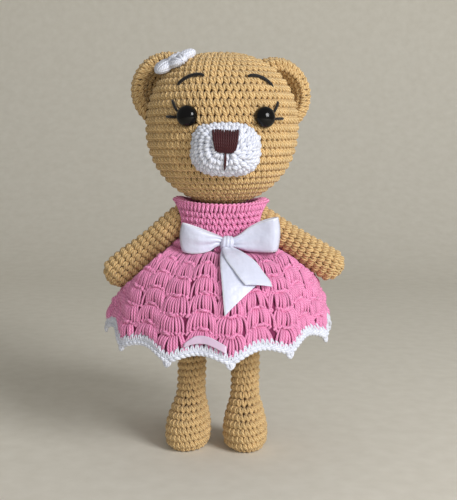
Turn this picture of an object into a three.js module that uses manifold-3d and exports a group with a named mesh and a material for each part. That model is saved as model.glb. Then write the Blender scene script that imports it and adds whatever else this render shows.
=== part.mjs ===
// A crocheted teddy bear in a pink dress with a white ribbon bow, standing on its two feet.
// Millimetres, +Z up. The bear faces -Y, its own left is +X, and its soles rest on z = 0.
// The origin is the middle of the box that the bear fills, so its body stands a little to the right of it.
import * as THREE from "three";
import { RoundedBoxGeometry } from "three/addons/geometries/RoundedBoxGeometry.js";
import { mergeVertices } from "three/addons/utils/BufferGeometryUtils.js";
import ManifoldModule from "manifold-3d";

const wasm = await ManifoldModule();
wasm.setup();

// Fits
const CLEARANCE = 0.3; // gap left between pieces that touch
const SWING_CLEARANCE = 0.4; // gap left around a piece that turns
const FABRIC = 2.6; // wall of the crocheted tan fabric

// Head, around its own centre
const HEAD_RADIUS = 36.8;
const HEAD_CROWN = 36.5; // centre to top
const HEAD_CHIN = 36.2; // centre down to the chin
const CROWN_FULLNESS = 2.3; // exponent of the outline above the centre, 2 is round
const HEAD_TURN = 3.4; // degrees, towards the bear's left
const EYE_SPREAD = 0.46; // each eye sideways from the middle, as a share of the head's radius
const EYE_RISE = 5.6; // above the head's centre
const EYE_RADIUS = 4.9;
const EYE_DOME = 3.9;
const EYE_FLANGE = 0.8;
const SHANK_RADIUS = 1.9;
const SHANK_LENGTH = 7.5;
const WASHER_RADIUS = 5;
const WASHER_THICKNESS = 1.5;
const THREAD_RELIEF = 1.2; // embroidery stands this far off the fabric
const BROW_INNER = [10, 24.2]; // sideways and up from the head's centre
const BROW_PEAK = [15.6, 24.6];
const BROW_OUTER = [21.8, 19.9];
const BROW_WIDTH = 1.3;
const LASH_WIDTH = 0.95;
const LASH_ROOT_GAP = 0.7; // from the eye's rim to where a lash starts
const UPPER_LASH_LENGTH = 5.8;
const UPPER_LASH_ANGLE = 66; // degrees above sideways
const UPPER_LASH_ROOT = 24; // where on the eye's rim it starts, degrees above sideways
const OUTER_LASH_LENGTH = 4.6;
const OUTER_LASH_ANGLE = 3;
const OUTER_LASH_ROOT = -6;

// Muzzle, nose and mouth
const MUZZLE_WIDTH = 31.6;
const MUZZLE_HEIGHT = 24.6;
const MUZZLE_DEPTH = 8.6; // in front of the head
const MUZZLE_DROP = 8.4; // centre below the head's centre
const MUZZLE_ROOT = 7; // how far back its sides reach before the head trims them
const MUZZLE_FULLNESS = 2.5; // exponent of its side view
const MUZZLE_SQUARENESS = 2.6; // exponent of its outline seen from in front, 2 is an oval
const NOSE_TOP = 8.1; // above the muzzle's centre
const NOSE_HEIGHT = 9.8;
const NOSE_TOP_WIDTH = 11.8;
const NOSE_BOTTOM_WIDTH = 7.2;
const MOUTH_LENGTH = 7.6;
const MOUTH_WIDTH = 1.2;

// Ears and hair flower
const EAR_RADIUS = 18.6;
const EAR_DEPTH = 12.5;
const EAR_WALL = 7;
const EAR_SIDE = 26.2; // centre sideways from the head's centre
const LEFT_EAR_RISE = 16.8; // centre above the head's centre
const RIGHT_EAR_RISE = 18.4;
const EAR_BACK = 8;
const EAR_SPLAY = 14; // degrees that the cup opens outwards
const FLOWER_PETALS = 5;
const FLOWER_RADIUS = 11.6;
const PETAL_LENGTH = 5.6; // half lengths of one petal
const PETAL_WIDTH = 4.9;
const PETAL_THICKNESS = 2.4;
const FLOWER_SIDE = 34; // degrees from straight up, towards the bear's right
const FLOWER_FORWARD = 10.5;

// Neck and body
const NECK_RADIUS = 8.5;
const NOD_GAP = 0.8; // room under the head for it to nod
const NECK_SINK = 9.5; // depth of the neck plug inside the body
const BODY_RISE = 55.8; // hip line to the top of the body
const BODY_DROP = 1.4; // the body's lowest point below the hip line
const SHOULDER_RADIUS = 14.6;
const SHOULDER_SLOPE = 6; // top of the body down to the shoulders
const BODY_WAIST_RADIUS = 16.6;
const BELLY_RADIUS = 20.8;
// The belly's outline: shares of its radius and of the height from hip to waist, and how far each faces down
const BELLY = [[0.93, 0.74, 0], [1, 0.52, 0], [0.97, 0.3, 0.2], [0.82, 0.12, 0.6], [0.48, 0, 0.9]];

// Legs
const HIP_HEIGHT = 64.2;
const HIP_SPREAD = 13.3; // each leg sideways from the middle
const LEG_RADIUS = 7.3;
const FOOT_WIDTH = 22.4;
const FOOT_LENGTH = 28.6;
const FOOT_HEIGHT = 26;
const FOOT_FORWARD = 4.6; // middle of the foot ahead of the leg
// The foot from the sole up: shares of its height, width, length and forward, and of its way to the leg
const FOOT = [
  [0, 0.8, 0.84, 1, 0],
  [0.1, 0.95, 0.97, 1, 0],
  [0.3, 1, 1, 1, 0],
  [0.52, 0.97, 0.94, 0.9, 0],
  [0.76, 1, 1, 0.55, 0.5],
  [1, 1, 1, 0.15, 0.94],
];
const RIGHT_TOE_OUT = 16; // degrees
const LEFT_TOE_OUT = 4;
const LEG_BACK_SWING = 20; // degrees
const LEG_FORWARD_SWING = 50;

// Arms
const SHOULDER_DROP = 6.5; // top of the body down to the middle of the shoulder
const SHOULDER_SPREAD = 19;
const ARM_RADIUS = 7;
const HAND_RADIUS = 8.3;
const ARM_LENGTH = 48.5; // shoulder to fingertip
const ARM_STRAIGHT = 0.4; // share of the way to the hand before the arm widens
const ARM_WIDENED = 0.72; // share of the way where it is half widened
const RIGHT_ARM_SPREAD = 48.5; // degrees from hanging straight down
const LEFT_ARM_SPREAD = 57.5;
const BOX_MIDDLE = 1.91; // the left hand reaches further out, so the box's middle lies this far to the left
const ARM_LIFT = 33; // degrees of free lift
const LIMB_OPENING = 3; // radius of the hole left at a limb's sewn end

// Dress
const DRESS_WALL = 2.2;
const WAIST_DROP = 20.5; // top of the body down to the waist
const NECKLINE_SIDE_RISE = 3.2; // top of the body up to the dress at the shoulders
const NECKLINE_FRONT_RISE = 1;
const YOKE_HALF_WIDTH = 23;
const YOKE_HALF_DEPTH = 17.2;
const GATHER_WIDTH = 15.6; // nearly flat gathers round the waist
const GATHER_DROP = 2.6;
// The skirt's outline, as shares of the way out and down from the gathers to the hem
const FLARE = [[0.32, 0.13], [0.61, 0.35], [0.84, 0.66]];
const HEM_RADIUS = 53.6;
const SKIRT_DROP = 47; // waist down to the lowest point of the edging
const HEM_SIDE_LIFT = 6.5; // the hem hangs higher at the sides
const HEM_SKEW = 12; // degrees that this lift is turned round
const SCALLOPS = 12;
const SCALLOP_TURN = 6; // degrees from the front to the first tip, towards the bear's left
const SCALLOP_DEPTH = 4.6;
const FOLD_DEPTH = 1.3;
const SHELLS_PER_SCALLOP = 2;
const SHELL_ROWS = 6;
const SHELL_RELIEF = 1.2; // depth of the grooves between the shells
const FIRST_SHELL_TOP = 0.11; // shares of the way down the skirt where the gathered first row starts and ends
const FIRST_SHELL_FOOT = 0.47;
const SKIRT_PUFF = 3; // how far the skirt swells up in front of and behind each arm
const PUFF_ANGLE = 58; // degrees from the front or back to the middle of that swell
const PUFF_SPREAD = 12;
const PUFF_FROM = 0.14; // shares of the way down the skirt where that swell starts and ends
const PUFF_TO = 0.78;
const ARM_REST_GAP = 0.9; // cloth under an arm
const PRESSED_SLOPE = 0.15; // rise of the cloth that an arm presses down, away from the arm on each side
const EDGING_WIDTH = 3.8;
const EDGING_WALL = 2.4;

// Ribbon
const RIBBON_WIDTH = 15;
const RIBBON_WALL = 0.8;
const SASH_HEIGHT = 2; // the ribbon gathered where it is threaded round the waist
const KNOT_OFFSET = 3.4; // towards the bear's left
const KNOT_WIDTH = 6;
const KNOT_HEIGHT = 8;
const KNOT_DEPTH = 5.6;
const KNOT_ROUND = 2;
const LEFT_LOOP_LENGTH = 20.6;
const RIGHT_LOOP_LENGTH = 18.4;
const LOOP_DEPTH = 7;
const LOOP_PINCH = 6; // ribbon's height where it enters the knot
const LOOP_PARTING = 0.35; // share of the loop's length where its two plies part
const LEFT_LOOP_RISE = 5.6; // outer end of each loop above the knot's middle
const RIGHT_LOOP_RISE = 3.8;
const LEFT_TAIL_END = 13.8; // where each tail's end lies, sideways from the knot
const RIGHT_TAIL_END = 6;
const LEFT_TAIL_REACH = 0.68; // share of the way down the skirt
const RIGHT_TAIL_REACH = 0.755;
const TAIL_WIDTH = 12.4;
const TAIL_STANDOFF = 0.25; // how much the upper tail stands off the lower one, above the usual gap
const TAIL_SLANT = 0.066; // slanting cut of the right tail's end, as a share of the skirt
const HEM_RIBBON_WIDTH = 3.8;
const HEM_RIBBON_SPAN = 20; // degrees
const HEM_RIBBON_TURN = -8; // degrees from the front

// Facets round a circle
const HEAD_SIDES = 24;
const LIMB_SIDES = 16;
const SMALL_SIDES = 12;
const SKIRT_SIDES = SCALLOPS * 6;
const DOME_STEP = 15; // degrees from a dome's pole to its first ring
const LOOP_STEPS = 8; // along a bow loop's bend
const TAIL_STEPS = 7; // along a ribbon's tail
const SHARE_STEP = 0.001; // how finely a share is searched for
const FACET_SAG = 0.8; // how far the head's flat facets stand inside its true round

const TAN = 0xb89766;
const CREAM = 0xe2e3ea;
const PINK = 0xe08bb2;
const BLACK = 0x0b0b0c;
const BROWN = 0x240a0d;
const RIBBON_WHITE = 0xe6e6f2;
const FIBRE_WHITE = 0xf0efe9;
const WASHER_GREY = 0xd9d9d4;

const radians = THREE.MathUtils.degToRad;
const vector = (x, y, z) => new THREE.Vector3(x, y, z);

const bodyTop = HIP_HEIGHT + BODY_RISE;
const shoulderHeight = bodyTop - SHOULDER_DROP;
const waistHeight = bodyTop - WAIST_DROP;
const hemHeight = waistHeight - SKIRT_DROP;
const necklineFront = bodyTop + NECKLINE_FRONT_RISE;
const necklineSide = bodyTop + NECKLINE_SIDE_RISE;
const neckPivotHeight = bodyTop + CLEARANCE;
const eyeSide = HEAD_RADIUS * EYE_SPREAD;
const neckHole = NECK_RADIUS + CLEARANCE;
// The head's centre stands above the neck pivot, so that its hole clears the pivot.
const headLift = NOD_GAP + HEAD_CHIN * Math.sqrt(1 - (neckHole / HEAD_RADIUS) ** 2);

// Geometry that is one closed surface, with merged corners and faces pointing out.
function closed(geometry) {
  let plain = geometry.index ? geometry.toNonIndexed() : geometry.clone();
  for (const name of Object.keys(plain.attributes)) {
    if (name !== "position") plain.deleteAttribute(name);
  }
  plain = mergeVertices(plain, 1e-4);
  const p = plain.attributes.position;
  const corner = (i) => new THREE.Vector3().fromBufferAttribute(p, i);
  const faces = [];
  let volume = 0;
  for (let i = 0; i < plain.index.count; i += 3) {
    const [a, b, c] = [0, 1, 2].map((k) => plain.index.getX(i + k));
    if (a === b || b === c || c === a) continue;
    faces.push([a, b, c]);
    volume += corner(a).dot(corner(b).cross(corner(c)));
  }
  const ordered = volume < 0 ? faces.map(([a, b, c]) => [a, c, b]) : faces;
  plain.setIndex(ordered.flat());
  plain.computeVertexNormals();
  return plain;
}

function toSolid(geometry) {
  const plain = closed(geometry);
  const mesh = new wasm.Mesh({
    numProp: 3,
    vertProperties: new Float32Array(plain.attributes.position.array),
    triVerts: new Uint32Array(plain.index.array),
  });
  return new wasm.Manifold(mesh);
}

function fromSolid(solid) {
  const mesh = solid.getMesh();
  const geometry = new THREE.BufferGeometry();
  geometry.setAttribute("position", new THREE.BufferAttribute(new Float32Array(mesh.vertProperties), 3));
  geometry.setIndex(Array.from(mesh.triVerts));
  geometry.computeVertexNormals();
  return geometry;
}

function cut(geometry, ...tools) {
  let solid = toSolid(geometry);
  for (const tool of tools) solid = solid.subtract(toSolid(tool));
  return fromSolid(solid);
}

function join(...geometries) {
  const [first, ...rest] = geometries.map(toSolid);
  return fromSolid(rest.reduce((whole, next) => whole.add(next), first));
}

function common(first, second) {
  return fromSolid(toSolid(first).intersect(toSolid(second)));
}

// Turned about Z from [radius, height] points that start and end on the axis or close on themselves.
function turned(profile, sides) {
  const points = profile.map(([r, h]) => new THREE.Vector2(r, h));
  return closed(new THREE.LatheGeometry(points, sides).rotateX(Math.PI / 2));
}

// A skin over rings of points: capped at both ends, or joined end to end into a hoop.
function loft(rings, isHoop = false) {
  const sides = rings[0].length;
  const points = rings.flat();
  const index = [];
  const spans = isHoop ? rings.length : rings.length - 1;
  for (let i = 0; i < spans; i++) {
    const a = i * sides;
    const b = ((i + 1) % rings.length) * sides;
    for (let j = 0; j < sides; j++) {
      const k = (j + 1) % sides;
      index.push(a + j, a + k, b + k, a + j, b + k, b + j);
    }
  }
  if (!isHoop) {
    for (const [ring, isLast] of [[0, false], [rings.length - 1, true]]) {
      const middle = rings[ring].reduce((sum, q) => sum.add(q), vector(0, 0, 0)).divideScalar(sides);
      const centre = points.push(middle) - 1;
      for (let j = 0; j < sides; j++) {
        const k = (j + 1) % sides;
        const [a, b] = [ring * sides + j, ring * sides + k];
        index.push(centre, ...(isLast ? [a, b] : [b, a]));
      }
    }
  }
  const geometry = new THREE.BufferGeometry().setFromPoints(points);
  geometry.setIndex(index);
  return closed(geometry);
}

function oval(centreX, centreY, height, halfWidth, halfLength, sides, squareness = 2) {
  const fill = (wave) => Math.sign(wave) * Math.abs(wave) ** (2 / squareness);
  return Array.from({ length: sides }, (_, j) => {
    const a = (2 * Math.PI * j) / sides;
    return vector(centreX + halfWidth * fill(Math.cos(a)), centreY + halfLength * fill(Math.sin(a)), height);
  });
}

// Points of a circle's arc, from one angle to another in degrees, as [x, y].
function arc(x, y, radius, from, to, steps) {
  return Array.from({ length: steps + 1 }, (_, i) => {
    const a = radians(from + ((to - from) * i) / steps);
    return [x + radius * Math.cos(a), y + radius * Math.sin(a)];
  });
}

function mesh(name, geometry, colour, roughness = 0.9) {
  const material = new THREE.MeshStandardMaterial({ color: colour, roughness, metalness: 0 });
  const made = new THREE.Mesh(geometry, material);
  made.name = name;
  return made;
}

const crochet = (name, geometry, colour = TAN) => mesh(name, geometry, colour, 0.95);
const stuffing = (name, geometry) => mesh(name, geometry, FIBRE_WHITE, 1);

// Head: a turned skin around its own centre, squarer above than below
function headPoint(angle, grow) {
  const a = radians(angle);
  const bend = angle > 0 ? 2 / CROWN_FULLNESS : 1;
  const tall = angle > 0 ? HEAD_CROWN : HEAD_CHIN;
  const across = (HEAD_RADIUS + grow) * Math.max(Math.cos(a), 0) ** bend;
  return [across, headLift + Math.sign(angle) * (tall + grow) * Math.abs(Math.sin(a)) ** bend];
}

function headProfile(grow, holeRadius, steps) {
  const last = -THREE.MathUtils.radToDeg(Math.acos(holeRadius / (HEAD_RADIUS + grow)));
  const points = Array.from({ length: steps + 1 }, (_, i) => headPoint(90 + ((last - 90) * i) / steps, grow));
  points[0][0] = 0;
  points[steps][0] = holeRadius;
  return points;
}

const headForm = (grow) => turned(headProfile(grow, 0, 18), HEAD_SIDES);

// The point of the head's skin straight ahead of a place given sideways and up from its centre.
function onFace(side, rise) {
  const level = Math.abs(rise) / (rise > 0 ? HEAD_CROWN : HEAD_CHIN);
  const power = rise > 0 ? CROWN_FULLNESS : 2;
  const across = HEAD_RADIUS * (1 - level ** power) ** (1 / power);
  return vector(side, -Math.sqrt(across ** 2 - side ** 2), headLift + rise);
}

// A prism in front of the head, from an outline given sideways and up from the head's centre.
function facePrism(outline) {
  const shape = new THREE.Shape(outline.map(([x, y]) => new THREE.Vector2(x, y)));
  const reach = 2 * (HEAD_RADIUS + MUZZLE_DEPTH);
  const geometry = new THREE.ExtrudeGeometry(shape, { depth: reach, bevelEnabled: false });
  return geometry.rotateX(Math.PI / 2).translate(0, 0, headLift);
}

// Embroidery: a raised layer over a grown form, within an outline seen from the front.
function embroidered(outline, form) {
  const layer = cut(form(CLEARANCE + THREAD_RELIEF), form(CLEARANCE));
  return common(facePrism(outline), layer);
}

// The outline of a thread laid along a curve.
function threadOutline(curve, width, steps) {
  const sides = [[], []];
  for (let i = 0; i <= steps; i++) {
    const p = curve.getPoint(i / steps);
    const t = curve.getTangent(i / steps);
    sides[0].push([p.x - (t.y * width) / 2, p.y + (t.x * width) / 2]);
    sides[1].unshift([p.x + (t.y * width) / 2, p.y - (t.x * width) / 2]);
  }
  return [...sides[0], ...sides[1]];
}

const point2 = ([x, y], side) => new THREE.Vector2(side * x, y);

function brow(side) {
  const curve = new THREE.QuadraticBezierCurve(
    point2(BROW_INNER, side),
    point2(BROW_PEAK, side),
    point2(BROW_OUTER, side),
  );
  return embroidered(threadOutline(curve, BROW_WIDTH, 6), headForm);
}

function lash(side, length, angle, rootAngle) {
  const [rootX, rootY] = arc(eyeSide, EYE_RISE, EYE_RADIUS + LASH_ROOT_GAP, rootAngle, rootAngle, 1)[0];
  const [tipX, tipY] = arc(rootX, rootY, length, angle, angle, 1)[0];
  const curve = new THREE.LineCurve(point2([rootX, rootY], side), point2([tipX, tipY], side));
  return embroidered(threadOutline(curve, LASH_WIDTH, 1), headForm);
}

// Eyes: plastic safety eyes, each pushed through the fabric and held by a washer inside
const eyeProfile = [
  [0, EYE_FLANGE + EYE_DOME],
  ...arc(0, 0, 1, 90 - DOME_STEP, 0, 5).map(([x, y]) => [x * EYE_RADIUS, EYE_FLANGE + y * EYE_DOME]),
  [EYE_RADIUS, 0],
  [SHANK_RADIUS, 0],
  [SHANK_RADIUS, -SHANK_LENGTH],
  [0, -SHANK_LENGTH],
];
const washerSag = WASHER_RADIUS ** 2 / (2 * (HEAD_RADIUS - FABRIC)) + FACET_SAG;
const washerTop = -(FABRIC + 2 * CLEARANCE + washerSag);
const washerProfile = [
  [SHANK_RADIUS + CLEARANCE, washerTop],
  [WASHER_RADIUS, washerTop],
  [WASHER_RADIUS, washerTop - WASHER_THICKNESS],
  [SHANK_RADIUS + CLEARANCE, washerTop - WASHER_THICKNESS],
  [SHANK_RADIUS + CLEARANCE, washerTop],
];
// The room that the shank and washer take up inside the head.
const eyeRoomProfile = [
  [0, 1],
  [SHANK_RADIUS + CLEARANCE, 1],
  [SHANK_RADIUS + CLEARANCE, washerTop + CLEARANCE],
  [WASHER_RADIUS + CLEARANCE, washerTop + CLEARANCE],
  [WASHER_RADIUS + CLEARANCE, washerTop - WASHER_THICKNESS - CLEARANCE],
  [SHANK_RADIUS + CLEARANCE, washerTop - WASHER_THICKNESS - CLEARANCE],
  [SHANK_RADIUS + CLEARANCE, -SHANK_LENGTH - CLEARANCE],
  [0, -SHANK_LENGTH - CLEARANCE],
];
const shankHoleProfile = [
  [0, 1],
  [SHANK_RADIUS + CLEARANCE, 1],
  [SHANK_RADIUS + CLEARANCE, -2 * FABRIC],
  [0, -2 * FABRIC],
];

function eyeFrame(side) {
  const seat = onFace(side * eyeSide, EYE_RISE);
  const outward = seat.clone().sub(vector(0, 0, headLift)).normalize();
  const frame = new THREE.Object3D();
  frame.position.copy(seat).addScaledVector(outward, CLEARANCE);
  frame.quaternion.setFromUnitVectors(vector(0, 0, 1), outward);
  frame.updateMatrix();
  return frame;
}

const atEye = (side, profile) => turned(profile, SMALL_SIDES).applyMatrix4(eyeFrame(side).matrix);

// Muzzle: an oval dome sewn on the face, trimmed by the head
function muzzleForm(grow) {
  const front = HEAD_RADIUS + MUZZLE_DEPTH + grow;
  const back = HEAD_RADIUS - MUZZLE_ROOT;
  const bend = 2 / MUZZLE_FULLNESS;
  const rings = [8, 24, 42, 60, 76, 90].map((angle) => {
    const spread = Math.sin(radians(angle)) ** bend;
    const depth = back + (front - back) * Math.max(Math.cos(radians(angle)), 0) ** bend;
    const halfWidth = spread * (MUZZLE_WIDTH / 2 + grow);
    const halfHeight = spread * (MUZZLE_HEIGHT / 2 + grow);
    const ring = oval(0, 0, 0, halfWidth, halfHeight, HEAD_SIDES, MUZZLE_SQUARENESS);
    return ring.map((q) => vector(q.x, -depth, headLift - MUZZLE_DROP + q.y));
  });
  const behind = rings[rings.length - 1].map((q) => vector(q.x, 0, q.z));
  return loft([...rings, behind]);
}

function noseOutline() {
  const top = NOSE_TOP - MUZZLE_DROP;
  const bottom = top - NOSE_HEIGHT;
  return [
    [-NOSE_TOP_WIDTH / 2, top],
    [-NOSE_BOTTOM_WIDTH / 2, bottom],
    [NOSE_BOTTOM_WIDTH / 2, bottom],
    [NOSE_TOP_WIDTH / 2, top],
  ];
}

function mouthOutline() {
  const top = NOSE_TOP - MUZZLE_DROP - NOSE_HEIGHT - CLEARANCE;
  const curve = new THREE.LineCurve(new THREE.Vector2(0, top), new THREE.Vector2(0, top - MOUTH_LENGTH));
  return threadOutline(curve, MOUTH_WIDTH, 1);
}

// Ears: cups that open forwards, trimmed where the head passes through them
function ear(side, rise) {
  const inside = EAR_RADIUS - EAR_WALL;
  const floor = EAR_DEPTH - EAR_WALL;
  const profile = [
    [0, -EAR_DEPTH],
    ...arc(0, 0, 1, DOME_STEP - 90, 0, 5).map(([x, y]) => [x * EAR_RADIUS, y * EAR_DEPTH]),
    ...arc(EAR_RADIUS - EAR_WALL / 2, 0, EAR_WALL / 2, 45, 180, 4),
    ...arc(0, 0, 1, -DOME_STEP, DOME_STEP - 90, 3).map(([x, y]) => [x * inside, y * floor]),
    [0, -floor],
  ];
  const cup = turned(profile, LIMB_SIDES).rotateX(Math.PI / 2).rotateZ(radians(side * EAR_SPLAY));
  cup.translate(side * EAR_SIDE, EAR_BACK, headLift + rise);
  return cut(cup, headForm(CLEARANCE));
}

// Hair flower: five puffy petals round a middle, lying on the crown beside the right ear
function hairFlower() {
  const petal = (turn) => {
    const blob = new THREE.SphereGeometry(1, 8, 6).scale(PETAL_LENGTH, PETAL_WIDTH, PETAL_THICKNESS);
    return blob.translate(FLOWER_RADIUS - PETAL_LENGTH, 0, 0).rotateZ(turn);
  };
  const petals = Array.from({ length: FLOWER_PETALS }, (_, i) => petal((2 * Math.PI * i) / FLOWER_PETALS));
  const middleRadius = FLOWER_RADIUS - PETAL_LENGTH;
  const middle = new THREE.SphereGeometry(1, 8, 6).scale(middleRadius, middleRadius, PETAL_THICKNESS);
  const outward = vector(0, 0, 1)
    .applyAxisAngle(vector(1, 0, 0), radians(FLOWER_FORWARD))
    .applyAxisAngle(vector(0, 1, 0), -radians(FLOWER_SIDE));
  const across = Math.hypot(outward.x, outward.y) / HEAD_RADIUS;
  const up = outward.z / HEAD_CROWN;
  const reach = (across ** CROWN_FULLNESS + up ** CROWN_FULLNESS) ** (-1 / CROWN_FULLNESS);
  const frame = new THREE.Object3D();
  frame.position.set(0, 0, headLift).addScaledVector(outward, reach + PETAL_THICKNESS - CLEARANCE);
  frame.quaternion.setFromUnitVectors(vector(0, 0, 1), outward);
  frame.updateMatrix();
  return cut(join(middle, ...petals).applyMatrix4(frame.matrix), headForm(CLEARANCE));
}

function headPieces() {
  const shankHoles = [1, -1].map((side) => atEye(side, shankHoleProfile));
  const eyeRooms = [1, -1].map((side) => atEye(side, eyeRoomProfile));
  const outside = headProfile(0, neckHole, 15);
  const inside = headProfile(-FABRIC, neckHole, 10);
  const headSkin = cut(turned([...outside, ...inside.reverse()], HEAD_SIDES), ...shankHoles);
  const neckBall = new THREE.SphereGeometry(NECK_RADIUS + SWING_CLEARANCE, LIMB_SIDES, 12);
  const headFill = turned(headProfile(-FABRIC - FACET_SAG, 0, 10), HEAD_SIDES);
  const muzzleHollow = muzzleForm(-FABRIC);
  const pieces = [
    crochet("head_cover", headSkin),
    stuffing("head_stuffing", cut(headFill, neckBall, ...eyeRooms)),
    crochet("muzzle_cover", cut(muzzleForm(0), muzzleHollow, headForm(CLEARANCE)), CREAM),
    stuffing("muzzle_stuffing", cut(muzzleForm(-FABRIC - CLEARANCE), headForm(CLEARANCE))),
    mesh("nose_embroidery", embroidered(noseOutline(), muzzleForm), BROWN, 0.7),
    mesh("mouth_stitch", embroidered(mouthOutline(), muzzleForm), BROWN, 0.7),
    crochet("hair_flower", hairFlower(), CREAM),
  ];
  for (const [name, side, earRise] of [["left", 1, LEFT_EAR_RISE], ["right", -1, RIGHT_EAR_RISE]]) {
    const upperLash = lash(side, UPPER_LASH_LENGTH, UPPER_LASH_ANGLE, UPPER_LASH_ROOT);
    const outerLash = lash(side, OUTER_LASH_LENGTH, OUTER_LASH_ANGLE, OUTER_LASH_ROOT);
    pieces.push(
      mesh(`${name}_eye`, atEye(side, eyeProfile), BLACK, 0.12),
      mesh(`${name}_eye_washer`, atEye(side, washerProfile), WASHER_GREY, 0.5),
      mesh(`${name}_brow`, brow(side), BLACK, 0.8),
      mesh(`${name}_upper_lash`, upperLash, BLACK, 0.8),
      mesh(`${name}_outer_lash`, outerLash, BLACK, 0.8),
      crochet(`${name}_ear`, ear(side, earRise)),
    );
  }
  return pieces;
}

// Neck: a stuffed plug whose round top the head nods on
function neck() {
  const foot = -(CLEARANCE + NECK_SINK);
  const dome = arc(0, 0, NECK_RADIUS, 0, 90 - DOME_STEP, 6);
  return turned([[0, foot], [NECK_RADIUS, foot], ...dome, [0, NECK_RADIUS]], LIMB_SIDES);
}

// Arms and legs, each around its own shoulder or hip, hanging straight down
function armProfile(grow, rootRadius) {
  const wrist = ARM_LENGTH - HAND_RADIUS;
  const end = THREE.MathUtils.radToDeg(Math.acos(rootRadius / (ARM_RADIUS + grow)));
  return [
    ...arc(0, 0, ARM_RADIUS + grow, end, 0, 4),
    [ARM_RADIUS + grow, -wrist * ARM_STRAIGHT],
    [(ARM_RADIUS + HAND_RADIUS) / 2 + grow, -wrist * ARM_WIDENED],
    ...arc(0, -wrist, HAND_RADIUS + grow, 0, -90, 5),
  ];
}

function onAxis(profile) {
  const points = profile.map(([r, h]) => [r, h]);
  points[points.length - 1][0] = 0;
  return points;
}

const armForm = (grow) => turned(onAxis([[0, ARM_RADIUS + grow], ...armProfile(grow, 1)]), LIMB_SIDES);

function armPieces(name) {
  const outside = onAxis(armProfile(0, LIMB_OPENING));
  const inside = onAxis(armProfile(-FABRIC, LIMB_OPENING));
  const skin = turned([...inside.reverse(), ...outside], LIMB_SIDES);
  return [crochet(`${name}_arm_cover`, skin), stuffing(`${name}_arm_stuffing`, armForm(-FABRIC - CLEARANCE))];
}

// A leg's rings from the sole up: [height, half width, half length, forward]
function legSections(grow, rootRadius) {
  const tube = LEG_RADIUS + grow;
  const soleHeight = Math.max(-grow, 0);
  const foot = FOOT.map(([high, wide, long, ahead, narrowed]) => [
    Math.max(FOOT_HEIGHT * high, high === 0 ? soleHeight : 0),
    THREE.MathUtils.lerp((FOOT_WIDTH / 2 + grow) * wide, tube, narrowed),
    THREE.MathUtils.lerp((FOOT_LENGTH / 2 + grow) * long, tube, narrowed),
    FOOT_FORWARD * ahead,
  ]).filter(([height], i) => i === 0 || height > soleHeight);
  const end = THREE.MathUtils.radToDeg(Math.acos(rootRadius / tube));
  const root = arc(0, HIP_HEIGHT, tube, 0, end, 4).map(([r, h]) => [h, r, r, 0]);
  return [...foot, [(FOOT_HEIGHT + HIP_HEIGHT) / 2, tube, tube, 0], ...root];
}

function legRings(grow, rootRadius) {
  return legSections(grow, rootRadius).map(([height, halfWidth, halfLength, forward]) =>
    oval(0, -forward, height - HIP_HEIGHT, halfWidth, halfLength, LIMB_SIDES),
  );
}

const legForm = (grow) => loft(legRings(grow, 1));

function legPieces(name, toeOut) {
  const skin = loft([...legRings(0, LIMB_OPENING), ...legRings(-FABRIC, LIMB_OPENING).reverse()]);
  const fill = legForm(-FABRIC - CLEARANCE);
  const turn = radians(toeOut);
  return [
    crochet(`${name}_leg_cover`, skin.rotateZ(turn)),
    stuffing(`${name}_leg_stuffing`, fill.rotateZ(turn)),
  ];
}

// Where each limb sits in the bear
const arms = [
  { name: "left", side: 1, spread: LEFT_ARM_SPREAD },
  { name: "right", side: -1, spread: RIGHT_ARM_SPREAD },
];
const legs = [
  { name: "left", side: 1, toeOut: LEFT_TOE_OUT },
  { name: "right", side: -1, toeOut: -RIGHT_TOE_OUT },
];

// The room that a limb's round root and the tube below it need as the limb turns through some angles.
function limbRoom(radius, length, turns) {
  const ball = new THREE.SphereGeometry(radius + SWING_CLEARANCE, LIMB_SIDES, 12).rotateX(Math.PI / 2);
  const tubes = turns.map((turn) => {
    const tube = radius + SWING_CLEARANCE / 2;
    const hanging = turned([[0, 0], [tube, 0], [tube, -length], [0, -length]], LIMB_SIDES);
    return hanging.applyMatrix4(turn);
  });
  return join(ball, ...tubes);
}

const armRooms = (lifts) =>
  arms.map(({ side, spread }) => {
    const turns = lifts.map((lift) => new THREE.Matrix4().makeRotationY(-side * radians(spread + lift)));
    const room = limbRoom(ARM_RADIUS, ARM_LENGTH / 2, turns);
    return room.translate(side * SHOULDER_SPREAD, 0, shoulderHeight);
  });

const legRooms = () =>
  legs.map(({ side }) => {
    const swings = [-LEG_BACK_SWING, LEG_FORWARD_SWING];
    const turns = swings.map((swing) => new THREE.Matrix4().makeRotationX(-radians(swing)));
    return limbRoom(LEG_RADIUS, HIP_HEIGHT / 2, turns).translate(side * HIP_SPREAD, 0, HIP_HEIGHT);
  });

// Body: a stuffed pear, narrow at the shoulders, open where the neck plugs in
function bodyOutline(grow) {
  const shoulder = bodyTop - SHOULDER_SLOPE;
  const tall = waistHeight - HIP_HEIGHT;
  // Radius, height, and how much of the growth goes down instead of out
  const points = [
    [SHOULDER_RADIUS, shoulder, 0],
    [(SHOULDER_RADIUS + BODY_WAIST_RADIUS) / 2, (shoulder + waistHeight) / 2, 0],
    [BODY_WAIST_RADIUS, waistHeight, 0],
    [BODY_WAIST_RADIUS + CLEARANCE, waistHeight - DRESS_WALL, 0],
    ...BELLY.map(([wide, high, down]) => [BELLY_RADIUS * wide, HIP_HEIGHT + tall * high, down]),
    [0, HIP_HEIGHT - BODY_DROP, 1],
  ];
  return points.map(([r, h, down]) => [r + grow * Math.sqrt(1 - down ** 2), h - grow * down]);
}

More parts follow.
